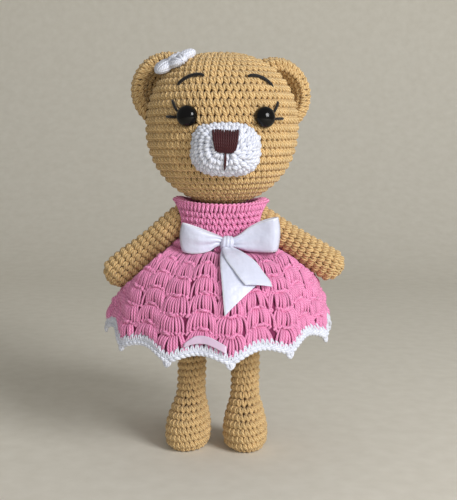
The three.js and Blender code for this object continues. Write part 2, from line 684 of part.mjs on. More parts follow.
function bodyPieces() {
  const neckFoot = neckPivotHeight - CLEARANCE - NECK_SINK;
  const outside = [[neckHole + FABRIC, bodyTop], ...bodyOutline(0)];
  const inside = [[neckHole, bodyTop], [neckHole, bodyTop - FABRIC], ...bodyOutline(-FABRIC)];
  const fillTop = neckFoot - CLEARANCE;
  const fillSides = bodyOutline(-FABRIC - CLEARANCE).filter(([, h]) => h < fillTop);
  const fill = [[0, fillTop], [SHOULDER_RADIUS - FABRIC - CLEARANCE, fillTop], ...fillSides];
  const rooms = [...armRooms([0]), ...legRooms()];
  return [
    crochet("body_cover", cut(turned([...inside.reverse(), ...outside], HEAD_SIDES), ...rooms)),
    stuffing("body_stuffing", cut(turned(fill, HEAD_SIDES), ...rooms)),
  ];
}

// Dress bodice: a short sleeveless yoke whose neckline dips at the front and back
const dressWaist = BODY_WAIST_RADIUS + 2 * CLEARANCE;
const bodiceWaist = dressWaist + DRESS_WALL;

function bodiceRing(share, inset) {
  return Array.from({ length: HEAD_SIDES }, (_, j) => {
    const a = (2 * Math.PI * j) / HEAD_SIDES;
    const neckline = THREE.MathUtils.lerp(necklineFront, necklineSide, Math.cos(a) ** 2);
    const halfWidth = THREE.MathUtils.lerp(bodiceWaist, YOKE_HALF_WIDTH, share) - inset;
    const halfDepth = THREE.MathUtils.lerp(bodiceWaist, YOKE_HALF_DEPTH, share) - inset;
    const height = THREE.MathUtils.lerp(waistHeight, neckline, share);
    return vector(halfWidth * Math.cos(a), halfDepth * Math.sin(a), height);
  });
}

function bodice() {
  const shares = [0, 0.25, 0.5, 0.75, 1];
  const outside = shares.map((share) => bodiceRing(share, 0));
  const inside = shares.map((share) => bodiceRing(share, DRESS_WALL)).reverse();
  return cut(loft([...outside, ...inside], true), ...armRooms([0, ARM_LIFT]));
}

// Skirt: a bell with soft folds and rows of shells, pressed down where the arms rest on it
const gatherRadius = dressWaist + GATHER_WIDTH;
const gatherHeight = waistHeight - GATHER_DROP;
const skirtCurve = new THREE.SplineCurve(
  [
    [dressWaist, waistHeight - CLEARANCE],
    [dressWaist + GATHER_WIDTH * 0.3, waistHeight - CLEARANCE],
    [dressWaist + GATHER_WIDTH * 0.6, waistHeight - 2 * CLEARANCE],
    ...[[0, 0], ...FLARE, [1, 1]].map(([out, down]) => [
      THREE.MathUtils.lerp(gatherRadius, HEM_RADIUS, out),
      THREE.MathUtils.lerp(gatherHeight, hemHeight + EDGING_WIDTH, down),
    ]),
  ].map(([r, h]) => new THREE.Vector2(r, h)),
);

const scallopAngle = (angle) => angle - radians(SCALLOP_TURN - 90);

// Height of the skirt's pink edge, with the edging's width below it.
function hemRise(angle) {
  const lift = HEM_SIDE_LIFT * Math.cos(angle + radians(HEM_SKEW)) ** 2;
  return lift + SCALLOP_DEPTH * Math.abs(Math.sin((SCALLOPS / 2) * scallopAngle(angle)));
}

// Greatest height of the cloth under and beside an arm at rest, or far above it where there is no arm.
function pressedHeight(x, y) {
  const arm = arms[x > 0 ? 0 : 1];
  const slope = radians(90 - arm.spread);
  const out = Math.abs(x) - SHOULDER_SPREAD;
  const along = out / Math.cos(slope);
  const wrist = ARM_LENGTH - HAND_RADIUS;
  const radius = THREE.MathUtils.mapLinear(along, 0, wrist, ARM_RADIUS, HAND_RADIUS) + ARM_REST_GAP;
  if (along > wrist + 2 * HAND_RADIUS) return Infinity;
  const middle = shoulderHeight - out * Math.tan(slope);
  const beside = middle - radius / Math.cos(slope) + PRESSED_SLOPE * Math.abs(y);
  const under = middle - Math.sqrt(Math.max(radius ** 2 - y ** 2, 0)) / Math.cos(slope);
  return Math.min(beside, under);
}

function skirtPoint(angle, share) {
  const [r, h] = skirtCurve.getPoint(share).toArray();
  const fold = FOLD_DEPTH * share ** 2 * Math.cos(SCALLOPS * scallopAngle(angle));
  const swell = THREE.MathUtils.clamp((share - PUFF_FROM) / (PUFF_TO - PUFF_FROM), 0, 1);
  const fromFront = Math.acos(Math.abs(Math.sin(angle)));
  const beside = Math.exp(-(((fromFront - radians(PUFF_ANGLE)) / radians(PUFF_SPREAD)) ** 2));
  const puff = SKIRT_PUFF * beside * Math.sin(Math.PI * swell) ** 2;
  const x = (r + fold) * Math.cos(angle);
  const y = (r + fold) * Math.sin(angle);
  const height = h + puff + share ** 2 * hemRise(angle);
  return vector(x, y, Math.min(height, pressedHeight(x, y)));
}

// Outward direction of the skirt's plain bell.
function skirtNormal(angle, share) {
  const t = skirtCurve.getTangent(share);
  return vector(-t.y * Math.cos(angle), -t.y * Math.sin(angle), t.x);
}

const offSkirt = (angle, share, distance) =>
  skirtPoint(angle, share).addScaledVector(skirtNormal(angle, share), distance);

function skirtRing(share, inset) {
  const first = radians(SCALLOP_TURN - 90);
  return Array.from({ length: SKIRT_SIDES }, (_, j) => {
    const angle = first + (2 * Math.PI * j) / SKIRT_SIDES;
    return offSkirt(angle, share, -inset(angle));
  });
}

// Each row of shells has a groove round its top and swells between the columns' grooves at its middle.
function skirt() {
  const even = () => 0;
  const groove = () => SHELL_RELIEF;
  const swell = (angle) =>
    (SHELL_RELIEF * (1 - Math.cos(SCALLOPS * SHELLS_PER_SCALLOP * scallopAngle(angle)))) / 2;
  const rowHeight = (1 - FIRST_SHELL_FOOT) / (SHELL_ROWS - 1);
  const tops = Array.from({ length: SHELL_ROWS }, (_, row) =>
    row === 0 ? FIRST_SHELL_TOP : FIRST_SHELL_FOOT + (row - 1) * rowHeight,
  );
  const shells = tops.flatMap((top, row) => {
    const foot = tops[row + 1] ?? 1;
    return [skirtRing(top, groove), skirtRing((top + foot) / 2, swell)];
  });
  const outside = [skirtRing(0, even), ...shells, skirtRing(1, even)];
  const inside = [1, 0.7, 0.42, 0.14, 0].map((share) => skirtRing(share, () => DRESS_WALL));
  return loft([...outside, ...inside], true);
}

// Hem edging: the white border that hangs below the pink and follows its scallops
function edging() {
  const down = skirtNormal(0, 1);
  const slope = vector(down.z, 0, -down.x);
  const ring = (below, inset) =>
    skirtRing(1, () => inset).map((q) => {
      const outward = vector(q.x, q.y, 0).normalize();
      return q.addScaledVector(outward, slope.x * below).setZ(q.z + slope.z * below);
    });
  const inset = (DRESS_WALL - EDGING_WALL) / 2;
  const rows = [[CLEARANCE, inset], [EDGING_WIDTH, inset]];
  const back = rows.map(([below]) => [below, inset + EDGING_WALL]).reverse();
  return loft([...rows, ...back].map(([below, depth]) => ring(below, depth)), true);
}

// Ribbon: threaded round the waist, tied in a bow in front, with two free tails
const sashFoot = waistHeight + CLEARANCE;
const sashShare = (CLEARANCE + SASH_HEIGHT) / (necklineFront - waistHeight);
const sashInner = THREE.MathUtils.lerp(bodiceWaist, YOKE_HALF_WIDTH, sashShare) + CLEARANCE;
const sashOuter = sashInner + RIBBON_WALL;
const knotFront = -(sashOuter + CLEARANCE);
const knotHeight = sashFoot + KNOT_HEIGHT / 2;

function sash() {
  const profile = [
    [sashInner, sashFoot],
    [sashOuter, sashFoot],
    [sashOuter, sashFoot + SASH_HEIGHT],
    [sashInner, sashFoot + SASH_HEIGHT],
    [sashInner, sashFoot],
  ];
  return turned(profile, HEAD_SIDES);
}

function knot() {
  const block = new RoundedBoxGeometry(KNOT_WIDTH, KNOT_DEPTH, KNOT_HEIGHT, 2, KNOT_ROUND);
  return closed(block.translate(KNOT_OFFSET, knotFront - KNOT_DEPTH / 2, knotHeight));
}

// One loop of the bow: the ribbon runs out from the knot, turns and comes back, widening as it goes.
function bowLoop(side, length, loopRise) {
  const reach = length - LOOP_DEPTH / 2;
  const half = LOOP_DEPTH / 2;
  const bend = (radius) => arc(reach, 0, radius, -90, 90, LOOP_STEPS);
  const toPath = (points) => points.map(([x, y]) => new THREE.Vector2(x, y));
  const shape = new THREE.Shape(toPath([[0, -RIBBON_WALL], ...bend(half), [0, RIBBON_WALL]]));
  shape.holes.push(new THREE.Path(toPath([[reach * LOOP_PARTING, 0], ...bend(half - RIBBON_WALL)])));
  const flat = new THREE.ExtrudeGeometry(shape, { depth: 1, bevelEnabled: false, steps: 1 });
  const p = flat.attributes.position;
  for (let i = 0; i < p.count; i++) {
    const widen = Math.min(p.getX(i) / reach, 1);
    const height = THREE.MathUtils.lerp(LOOP_PINCH, RIBBON_WIDTH, widen);
    p.setXYZ(i, side * p.getX(i), p.getY(i), (p.getZ(i) - 0.5) * height + loopRise * widen);
  }
  const root = KNOT_WIDTH / 2 + CLEARANCE;
  return closed(flat).translate(KNOT_OFFSET + side * root, knotFront - KNOT_DEPTH / 2, knotHeight);
}

// A strip of ribbon lying on the skirt: each row has two edges, as angles from the front and shares down it.
function skirtStrip(rows, wall) {
  const seat = 2 * CLEARANCE;
  const rings = rows.map(({ edges, shares }) => {
    const across = [0, 0.25, 0.5, 0.75, 1];
    const place = (f, distance) => {
      const angle = THREE.MathUtils.lerp(edges[0], edges[1], f) - Math.PI / 2;
      return offSkirt(angle, THREE.MathUtils.lerp(shares[0], shares[1], f), distance);
    };
    const under = across.map((f) => place(f, seat));
    const over = across.map((f) => place(f, seat + wall)).reverse();
    return [...under, ...over];
  });
  return loft(rings);
}

// The share of the way down the skirt at which it has come out to a radius.
function skirtShareAt(radius) {
  let [from, to] = [0, 1];
  while (to - from > SHARE_STEP) {
    const middle = (from + to) / 2;
    if (skirtCurve.getPoint(middle).x < radius) from = middle;
    else to = middle;
  }
  return to;
}

// A tail hangs from under the knot down the front of the skirt, cut slanting at its end.
function tail(endSide, reach, slant, lift) {
  const from = skirtShareAt(KNOT_DEPTH - knotFront);
  const rows = Array.from({ length: TAIL_STEPS + 1 }, (_, i) => {
    const down = i / TAIL_STEPS;
    const share = THREE.MathUtils.lerp(from, reach, down);
    const radius = skirtCurve.getPoint(share).x;
    const middle = KNOT_OFFSET + endSide * down;
    const half = THREE.MathUtils.lerp(LOOP_PINCH, TAIL_WIDTH, Math.min(2 * down, 1)) / 2;
    const edges = [(middle - half) / radius, (middle + half) / radius];
    return { edges, shares: [share + slant * down, share - slant * down] };
  });
  return skirtStrip(rows, RIBBON_WALL).translate(0, -lift, lift);
}

// Hem ribbon: a narrow scrap of ribbon stitched along the hem, just above the edging
function hemRibbon() {
  const turn = radians(HEM_RIBBON_TURN);
  const half = radians(HEM_RIBBON_SPAN) / 2;
  const skirtLength = skirtCurve.getLength();
  const rows = Array.from({ length: TAIL_STEPS + 1 }, (_, i) => {
    const angle = turn - half + (2 * half * i) / TAIL_STEPS;
    const bottom = 1 - CLEARANCE / skirtLength;
    return { edges: [angle, angle], shares: [bottom - HEM_RIBBON_WIDTH / skirtLength, bottom] };
  });
  return skirtStrip(rows, RIBBON_WALL);
}

function ribbonPieces() {
  const ribbon = (name, geometry) => mesh(name, geometry, RIBBON_WHITE, 0.4);
  const layer = RIBBON_WALL + CLEARANCE + TAIL_STANDOFF;
  return [
    ribbon("waist_ribbon", sash()),
    ribbon("bow_knot", knot()),
    ribbon("bow_left_loop", bowLoop(1, LEFT_LOOP_LENGTH, LEFT_LOOP_RISE)),
    ribbon("bow_right_loop", bowLoop(-1, RIGHT_LOOP_LENGTH, RIGHT_LOOP_RISE)),
    ribbon("right_ribbon_tail", tail(RIGHT_TAIL_END, RIGHT_TAIL_REACH, TAIL_SLANT, 0)),
    ribbon("left_ribbon_tail", tail(LEFT_TAIL_END, LEFT_TAIL_REACH, 0, layer)),
    ribbon("hem_ribbon", hemRibbon()),
  ];
}

const bear = new THREE.Group();
bear.position.x = -BOX_MIDDLE;

const head = new THREE.Group();
head.position.z = neckPivotHeight;
head.rotation.z = radians(HEAD_TURN);
head.add(...headPieces());

const neckPlug = stuffing("neck_plug", neck());
neckPlug.position.z = neckPivotHeight;

bear.add(head, neckPlug, ...bodyPieces());

for (const arm of arms) {
  const shoulder = new THREE.Group();
  shoulder.position.set(arm.side * SHOULDER_SPREAD, 0, shoulderHeight);
  shoulder.rotation.y = -arm.side * radians(arm.spread);
  shoulder.add(...armPieces(arm.name));
  bear.add(shoulder);
}

for (const leg of legs) {
  const hip = new THREE.Group();
  hip.position.set(leg.side * HIP_SPREAD, 0, HIP_HEIGHT);
  hip.add(...legPieces(leg.name, leg.toeOut));
  bear.add(hip);
}

bear.add(
  crochet("dress_bodice", bodice(), PINK),
  crochet("dress_skirt", skirt(), PINK),
  crochet("hem_edging", edging(), CREAM),
  ...ribbonPieces(),
);

export default bear;
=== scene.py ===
import math

import bpy
import numpy as np
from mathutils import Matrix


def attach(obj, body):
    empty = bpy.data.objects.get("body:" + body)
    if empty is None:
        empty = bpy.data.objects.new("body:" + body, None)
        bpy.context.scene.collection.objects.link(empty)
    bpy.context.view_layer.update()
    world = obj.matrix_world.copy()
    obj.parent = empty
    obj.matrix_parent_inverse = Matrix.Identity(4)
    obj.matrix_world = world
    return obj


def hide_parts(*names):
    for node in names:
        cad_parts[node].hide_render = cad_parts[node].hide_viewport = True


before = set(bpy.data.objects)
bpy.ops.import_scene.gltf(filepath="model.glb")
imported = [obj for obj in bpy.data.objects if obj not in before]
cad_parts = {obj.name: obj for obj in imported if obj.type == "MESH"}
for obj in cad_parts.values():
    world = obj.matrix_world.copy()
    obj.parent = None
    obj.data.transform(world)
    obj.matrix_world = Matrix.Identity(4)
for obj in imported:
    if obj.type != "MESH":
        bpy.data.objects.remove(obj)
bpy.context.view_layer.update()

# Legs
# Two stuffed tubes of tan cotton, each worked in one spiral of single crochet from the middle of the sole up.
# The foot is full in front and flat below, and the closed top of the tube turns in the hip.
MM = 0.001  # lengths are given in millimetres about the middle of the body
BOX_MIDDLE = 1.91  # the left hand reaches further out, so the box's middle lies this far to the left
SIDES = [("left", 1), ("right", -1)]  # the bear's own
LIMB_GAUGE = (2.6, 3.4, 1.65)  # width and height of a stitch, and thickness of the yarn
WOBBLE = 0.09  # how far a stitch may lean any way, in radians
ROUND_LEAN = 0.17  # share of a stitch that each round is moved on from the last
LINING_DEPTH = 1.3  # the inner face of the fabric below the middle of a stitch, painted dark as the shade between the stitches
AROUND = 72  # points round a modelled ring
HIP_HEIGHT = 64.2
HIP_SPREAD = 13.3
TOE_OUT = {"left": 4, "right": -16}  # degrees
# From the sole up: height, half width, half length, and how far the ring stands forward
LEG_RINGS = [
    [1.3, 0.3, 0.4, 4.6], [1.3, 4.4, 6.0, 4.6], [1.6, 7.6, 10.7, 4.6], [3.4, 9.3, 12.5, 4.6],
    [7.8, 9.9, 13.0, 4.6], [13.5, 9.5, 12.1, 4.1], [19.8, 7.9, 9.5, 2.5], [26, 6.2, 6.4, 0.7],
    [35.5, 6, 6, 0], [45, 6, 6, 0], [54.5, 6, 6, 0], [64.2, 6, 6, 0], [67.4, 5.1, 5.1, 0],
    [69.5, 3, 3, 0], [70.2, 0.4, 0.4, 0],
]
PLIES = 4
PLY_PITCH = 5.2  # length of yarn for one full twist
FIBRE = 0.42  # across a tuft of fibres
# One single crochet seen from outside: two strands that leave one hole and lean apart, the first one proud.
# Each strand runs through three places, in shares of the stitch's width, its height and the yarn's thickness.
STRANDS = [
    [(0.12, -0.58, -0.75), (-0.40, -0.06, 1.35), (-0.30, 0.50, -0.60)],
    [(0.04, -0.52, -0.80), (0.50, 0.02, 1.05), (0.26, 0.48, -0.65)],
]
STRAND_STEPS = 5
STRAND_SIDES = 6
STRAND_ENDS, STRAND_SWELL = 0.6, 0.42  # shares of the yarn's thickness at the ends, and added at the middle


def linear(hex_colour):
    """An sRGB hex colour as the linear one that a shader takes."""
    channels = [int(hex_colour[i:i + 2], 16) / 255 for i in (1, 3, 5)]
    return tuple(c / 12.92 if c <= 0.04045 else ((c + 0.055) / 1.055) ** 2.4 for c in channels) + (1.0,)


def add(tree, kind, inputs=None, **settings):
    """A node with its settings, and with its inputs set or linked. A node given as an input stands for its
    first output, and a list links several to one input."""
    node = tree.nodes.new(kind)
    for name, value in settings.items():
        setattr(node, name, value)
    for key, value in (inputs or {}).items():
        for source in value if isinstance(value, list) else [value]:
            if isinstance(source, bpy.types.Node):
                source = source.outputs[0]
            if isinstance(source, bpy.types.NodeSocket):
                tree.links.new(source, node.inputs[key])
            else:
                node.inputs[key].default_value = source
    return node


def maths(tree, operation, *values):
    return add(tree, "ShaderNodeMath", dict(enumerate(values)), operation=operation)


def new_material(name):
    material = bpy.data.materials.new(name)
    material.use_nodes = True
    material.node_tree.nodes.clear()
    return material, material.node_tree


def mottle(tree, grain, detail, rough=0.5):
    """Noise that is fixed to the piece, with grains of a given size."""
    place = add(tree, "ShaderNodeTexCoord").outputs["Object"]
    return add(tree, "ShaderNodeTexNoise",
               {"Vector": place, "Scale": 1 / (grain * MM), "Detail": detail, "Roughness": rough})


def relief(tree, height, strength, depth):
    return add(tree, "ShaderNodeBump", {"Height": height, "Strength": strength, "Distance": depth * MM})


def mixed(tree, share, first, second):
    return add(tree, "ShaderNodeMix", {0: share, 6: first, 7: second}, data_type="RGBA").outputs[2]


def finish_surface(tree, inputs):
    surface = add(tree, "ShaderNodeBsdfPrincipled", inputs)
    add(tree, "ShaderNodeOutputMaterial", {0: surface})


def cotton_yarn(name, colour, groove_shade, rough=0.82):
    """Plied cotton: plies wind round each strand, with shade painted into the grooves between them, and a
    matt down of fibre ends.
    """
    material, tree = new_material(name)
    lay = add(tree, "ShaderNodeAttribute", attribute_name="ply").outputs["Vector"]
    x, y, along = add(tree, "ShaderNodeSeparateXYZ", {0: lay}).outputs
    turn = maths(tree, "ARCTAN2", y, x)
    plies = maths(tree, "MULTIPLY", turn, PLIES)
    twist = maths(tree, "MULTIPLY_ADD", along, 2 * math.pi * PLIES / (PLY_PITCH * MM), plies)
    wave = maths(tree, "SINE", twist)
    ridge = add(tree, "ShaderNodeMapRange", {"Value": wave, "From Min": -1.0, "From Max": 0.6})
    fibre = mottle(tree, FIBRE, detail=3.0, rough=0.6)
    height = maths(tree, "MULTIPLY_ADD", fibre, 0.7, ridge)
    # the groove colour is painted shade, laid where the plies dip between each other
    shade = mixed(tree, ridge, linear(groove_shade), linear(colour))
    tint = add(tree, "ShaderNodeAttribute", attribute_name="tint").outputs["Fac"]
    tone = add(tree, "ShaderNodeMapRange", {"Value": tint, "To Min": 0.88, "To Max": 1.06})
    dyed = add(tree, "ShaderNodeHueSaturation", {"Value": tone, "Color": shade})
    finish_surface(tree, {"Base Color": dyed, "Roughness": rough, "Specular IOR Level": 0.3,
                          "Sheen Weight": 0.2, "Sheen Roughness": 0.5,
                          "Normal": relief(tree, height, strength=0.55, depth=0.16)})
    return material


def shaded_inner_fabric(name, colour):
    """The inside of the fabric seen between stitches: a darker colour of the yarn that is painted shade,
    mottled by loops towards a still darker painted shade.
    """
    material, tree = new_material(name)
    loops = mottle(tree, LIMB_GAUGE[2], detail=2.0)
    dark = tuple(0.55 * c for c in linear(colour)[:3]) + (1.0,)
    shade = mixed(tree, loops, dark, linear(colour))
    finish_surface(tree, {"Base Color": shade, "Roughness": 0.9, "Specular IOR Level": 0.2,
                          "Normal": relief(tree, loops, strength=0.6, depth=0.4)})
    return material


def name_inputs(tree, inputs):
    for name, kind in inputs.items():
        tree.interface.new_socket(name, in_out="INPUT", socket_type="NodeSocket" + kind)
    tree.interface.new_socket("Geometry", in_out="OUTPUT", socket_type="NodeSocketGeometry")


def captured(tree, geometry, kind, value):
    """A geometry and a value that is kept on its points through what is done to it later."""
    node = tree.nodes.new("GeometryNodeCaptureAttribute")
    node.capture_items.new(kind, "kept")
    tree.links.new(geometry, node.inputs[0])
    tree.links.new(value, node.inputs[1])
    return node.outputs[0], node.outputs[1]


def spun(tree, curve, thickness, sides, scale):
    """Yarn along a curve, which keeps where each point lies round and along the strand."""
    radius = maths(tree, "MULTIPLY", thickness, 0.5)
    circle = add(tree, "GeometryNodeCurvePrimitiveCircle", {"Resolution": sides, "Radius": radius}).outputs[0]
    circle, rim = captured(tree, circle, "VECTOR", add(tree, "GeometryNodeInputPosition").outputs[0])
    curve, along = captured(tree, curve, "FLOAT", add(tree, "GeometryNodeSplineParameter").outputs["Length"])
    strand = add(tree, "GeometryNodeCurveToMesh",
                 {"Curve": curve, "Profile Curve": circle, "Scale": scale, "Fill Caps": True})
    x, y, _ = add(tree, "ShaderNodeSeparateXYZ", {0: rim}).outputs
    lay = add(tree, "ShaderNodeCombineXYZ", {0: x, 1: y, 2: along})
    return add(tree, "GeometryNodeStoreNamedAttribute", {"Geometry": strand, "Name": "ply", "Value": lay},
               data_type="FLOAT_VECTOR", domain="POINT")


def single_crochet_tree():
    """Nodes that set a stitch at each marked point and leave the lining between them as it is."""
    tree = bpy.data.node_groups.new("single_crochet", "GeometryNodeTree")
    name_inputs(tree, {"Geometry": "Geometry", "Stitch Width": "Float", "Stitch Height": "Float",
                       "Yarn Thickness": "Float", "Wobble": "Float", "Seed": "Int", "Yarn": "Material",
                       "Shade Lining": "Material"})
    given = add(tree, "NodeGroupInput").outputs
    size = add(tree, "ShaderNodeCombineXYZ",
               {0: given["Stitch Width"], 1: given["Stitch Height"], 2: given["Yarn Thickness"]})
    strands = []
    for places in STRANDS:
        through = {name: add(tree, "ShaderNodeVectorMath", {0: size, 1: place}, operation="MULTIPLY")
                   for name, place in zip(("Start", "Middle", "End"), places)}
        strands.append(add(tree, "GeometryNodeCurveQuadraticBezier", {"Resolution": STRAND_STEPS, **through}))
    both = add(tree, "GeometryNodeJoinGeometry", {0: strands})
    share = add(tree, "GeometryNodeSplineParameter").outputs["Factor"]
    half_turn = maths(tree, "MULTIPLY", share, math.pi)
    swell = maths(tree, "SINE", half_turn)
    plump = maths(tree, "MULTIPLY_ADD", swell, STRAND_SWELL, STRAND_ENDS)
    stitch = spun(tree, both.outputs[0], given["Yarn Thickness"], STRAND_SIDES, plump)
    is_stitch = add(tree, "GeometryNodeInputNamedAttribute", {"Name": "is_stitch"}, data_type="BOOLEAN")
    marked, lining = add(tree, "GeometryNodeSeparateGeometry",
                         {"Geometry": given["Geometry"], "Selection": is_stitch}, domain="POINT").outputs
    outward, across, stretch = [
        add(tree, "GeometryNodeInputNamedAttribute", {"Name": name}, data_type="FLOAT_VECTOR")
        for name in ("outward", "across", "stretch")
    ]
    facing = add(tree, "FunctionNodeAxesToRotation", {0: outward, 1: across},
                 primary_axis="Z", secondary_axis="X")
    least = maths(tree, "MULTIPLY", given["Wobble"], -1.0)
    uneven = add(tree, "FunctionNodeRandomValue", {0: least, 1: given["Wobble"], "Seed": given["Seed"]},
                 data_type="FLOAT_VECTOR")
    tilt = add(tree, "FunctionNodeEulerToRotation", {0: uneven})
    turned = add(tree, "FunctionNodeRotateRotation", {0: facing, 1: tilt}, rotation_space="LOCAL")
    placed = add(tree, "GeometryNodeInstanceOnPoints",
                 {"Points": marked, "Instance": stitch, "Rotation": turned, "Scale": stretch})
    tint = add(tree, "FunctionNodeRandomValue", {"Seed": given["Seed"]}, data_type="FLOAT").outputs[1]
    tinted = add(tree, "GeometryNodeStoreNamedAttribute", {"Geometry": placed, "Name": "tint", "Value": tint},
                 data_type="FLOAT", domain="INSTANCE")
    made = add(tree, "GeometryNodeRealizeInstances", {0: tinted})
    made = add(tree, "GeometryNodeSetMaterial", {"Geometry": made, "Material": given["Yarn"]})
    inside = add(tree, "GeometryNodeSetMaterial", {"Geometry": lining, "Material": given["Shade Lining"]})
    whole = add(tree, "GeometryNodeJoinGeometry", {0: [made, inside]})
    smooth = add(tree, "GeometryNodeSetShadeSmooth", {0: whole})
    add(tree, "NodeGroupOutput", {0: smooth})
    return tree


def worked(obj, tree, sizes):
    """The object as a node tree makes it, with the result as its plain mesh."""
    modifier = obj.modifiers.new(tree.name, "NODES")
    modifier.node_group = tree
    for item in tree.interface.items_tree:
        if item.in_out == "INPUT" and item.name in sizes:
            modifier[item.identifier] = sizes[item.name]
    bpy.context.scene.collection.objects.link(obj)
    graph = bpy.context.evaluated_depsgraph_get()
    result = bpy.data.meshes.new_from_object(obj.evaluated_get(graph), depsgraph=graph)
    for name in ("is_stitch", "outward", "across", "stretch", "plump"):
        if name in result.attributes:
            result.attributes.remove(result.attributes[name])
    obj.modifiers.remove(modifier)
    before = obj.data
    obj.data = result
    bpy.data.meshes.remove(before)
    result.name = obj.name
    return obj


def keep(mesh, name, kind, values):
    field = "vector" if kind == "FLOAT_VECTOR" else "value"
    mesh.attributes.new(name, kind, "POINT").data.foreach_set(field, np.asarray(values).ravel())


def in_frame(points):
    """Millimetres about the middle of the body as metres in the frame, whose origin is the box's middle."""
    return (np.asarray(points) - [BOX_MIDDLE, 0, 0]) * MM


def crocheted(name, lining, stitches, yarn, shade_lining_material, gauge, seed):
    """A piece of single crochet: its inner face, and one stitch at each place on it."""
    points, faces = lining
    mesh = bpy.data.meshes.new(name)
    mesh.from_pydata(in_frame(np.vstack([points, stitches["place"]])).tolist(), [], faces)
    keep(mesh, "is_stitch", "BOOLEAN", [False] * len(points) + [True] * len(stitches["place"]))
    for field in ("outward", "across", "stretch"):
        values = np.vstack([np.zeros((len(points), 3)), stitches[field]])
        keep(mesh, field, "FLOAT_VECTOR", values.astype(np.float32))
    width, height, thickness = [size * MM for size in gauge]
    return worked(bpy.data.objects.new(name, mesh), single_crochet, {
        "Stitch Width": width, "Stitch Height": height, "Yarn Thickness": thickness,
        "Wobble": WOBBLE, "Seed": seed, "Yarn": yarn, "Shade Lining": shade_lining_material,
    })


def eased(rows, shares):
    """Points on a smooth curve through the rows, at shares of the way from the first row to the last."""
    rows = np.asarray(rows, float)
    slopes = np.gradient(rows, axis=0)
    slopes[[0, -1]] /= 2
    at = np.clip(shares, 0, 1) * (len(rows) - 1)
    low = np.minimum(at.astype(int), len(rows) - 2)
    f = (at - low)[..., None]
    return ((1 + 2 * f) * (1 - f) ** 2 * rows[low] + f * (1 - f) ** 2 * slopes[low]
            + f * f * (3 - 2 * f) * rows[low + 1] + f * f * (f - 1) * slopes[low + 1])


def smooth(rows, count):
    """A smooth curve through the rows, as so many points along it."""
    return eased(rows, np.linspace(0, 1, count))


def rings(sections):
    """Rings about Z from [height, half width, half length, forward], each started at the back."""
    a = math.pi / 2 + 2 * math.pi * np.arange(AROUND) / AROUND
    high, wide, long, forward = [np.asarray(sections, float)[:, i, None] for i in range(4)]
    return np.stack([wide * np.cos(a), long * np.sin(a) - forward, high + 0 * a], axis=2)


def unit(v):
    return v / np.maximum(np.linalg.norm(v, axis=-1, keepdims=True), 1e-9)


def outwards(surface):
    """The direction out of a surface of rings at each of its points."""
    across = np.roll(surface, -1, 1) - np.roll(surface, 1, 1)
    return unit(np.cross(across, np.gradient(surface, axis=0)))


def closed_skin(surface, is_hoop=False):
    """Points and faces of a skin over rings, capped at both ends or joined end to end into a hoop."""
    rows, around = surface.shape[:2]
    faces = []
    for i in range(rows if is_hoop else rows - 1):
        a, b = i * around, (i + 1) % rows * around
        for j in range(around):
            k = (j + 1) % around
            faces.append((a + j, a + k, b + k, b + j))
    if not is_hoop:
        faces.append(tuple(reversed(range(around))))
        faces.append(tuple(range((rows - 1) * around, rows * around)))
    return surface.reshape(-1, 3), faces


def lined(surface, depth=LINING_DEPTH):
    return closed_skin(surface - depth * outwards(surface))


def running(lengths):
    return np.concatenate([[0], np.cumsum(lengths)])


def worked_rounds(surface, gauge, climb=1.0):
    """Places of stitches in a spiral, or in level rounds where the climb is 0, with the ways across and out
    of each stitch and how far it is stretched."""
    width, height, _ = gauge
    rows, around = surface.shape[:2]
    reach = running(np.linalg.norm(np.diff(surface, axis=0), axis=2).mean(axis=1))
    girth = np.linalg.norm(np.roll(surface, -1, 1) - surface, axis=2).sum(axis=1)
    across = np.roll(surface, -1, 1) - np.roll(surface, 1, 1)
    fields = np.concatenate([surface, across, np.gradient(surface, axis=0)], axis=2)
    rounds = max(1, round(reach[-1] / height))
    tall = reach[-1] / rounds
    found = []
    for n in range(rounds):
        count = 3 * max(2, round(np.interp((n + 0.5) * tall, reach, girth) / (3 * width)))
        turn = (np.arange(count) + ROUND_LEAN * n) / count % 1
        way = np.clip((n + climb * turn + (1 - climb) / 2) * tall, 0, reach[-1])
        row = np.interp(way, reach, np.arange(rows))
        low = np.minimum(row.astype(int), rows - 2)
        left = (turn * around).astype(int) % around
        right = (left + 1) % around
        f = (row - low)[:, None]
        g = (turn * around % 1)[:, None]
        value = ((fields[low, left] * (1 - f) + fields[low + 1, left] * f) * (1 - g)
                 + (fields[low, right] * (1 - f) + fields[low + 1, right] * f) * g)
        wide = np.interp(way, reach, girth) / count / width
        stretch = np.stack([wide, 0 * wide + tall / height, 0.5 + 0.5 * np.minimum(wide, 1.1)], axis=1)
        found.append(np.hstack([value, stretch]))
    found = np.vstack(found)
    outward = unit(np.cross(found[:, 3:6], found[:, 6:9]))
    return {"place": found[:, :3], "across": unit(found[:, 3:6]), "outward": outward, "stretch": found[:, 9:]}


def only(stitches, wanted):
    return {field: values[wanted] for field, values in stitches.items()}


def turn_about(axis, degrees):
    c, s = math.cos(math.radians(degrees)), math.sin(math.radians(degrees))
    turns = {"X": [[1, 0, 0], [0, c, -s], [0, s, c]], "Y": [[c, 0, s], [0, 1, 0], [-s, 0, c]],
             "Z": [[c, -s, 0], [s, c, 0], [0, 0, 1]]}
    return np.array(turns[axis])


def fitted(piece, body, slot, *nodes):
    """A finished piece with the body that it moves with and the solids it stands for, which are hidden. The
    slot argument is not used.
    """
    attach(piece, body)
    if nodes:
        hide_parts(*nodes)
    return piece


def limb(name, surface, seed):
    """A stuffed tube of tan crochet that moves by itself."""
    piece = crocheted(name, lined(surface), worked_rounds(surface, LIMB_GAUGE), tan_yarn, tan_shade_lining,
                      LIMB_GAUGE, seed)
    fitted(piece, name, "tan_yarn", name + "_cover", name + "_stuffing")
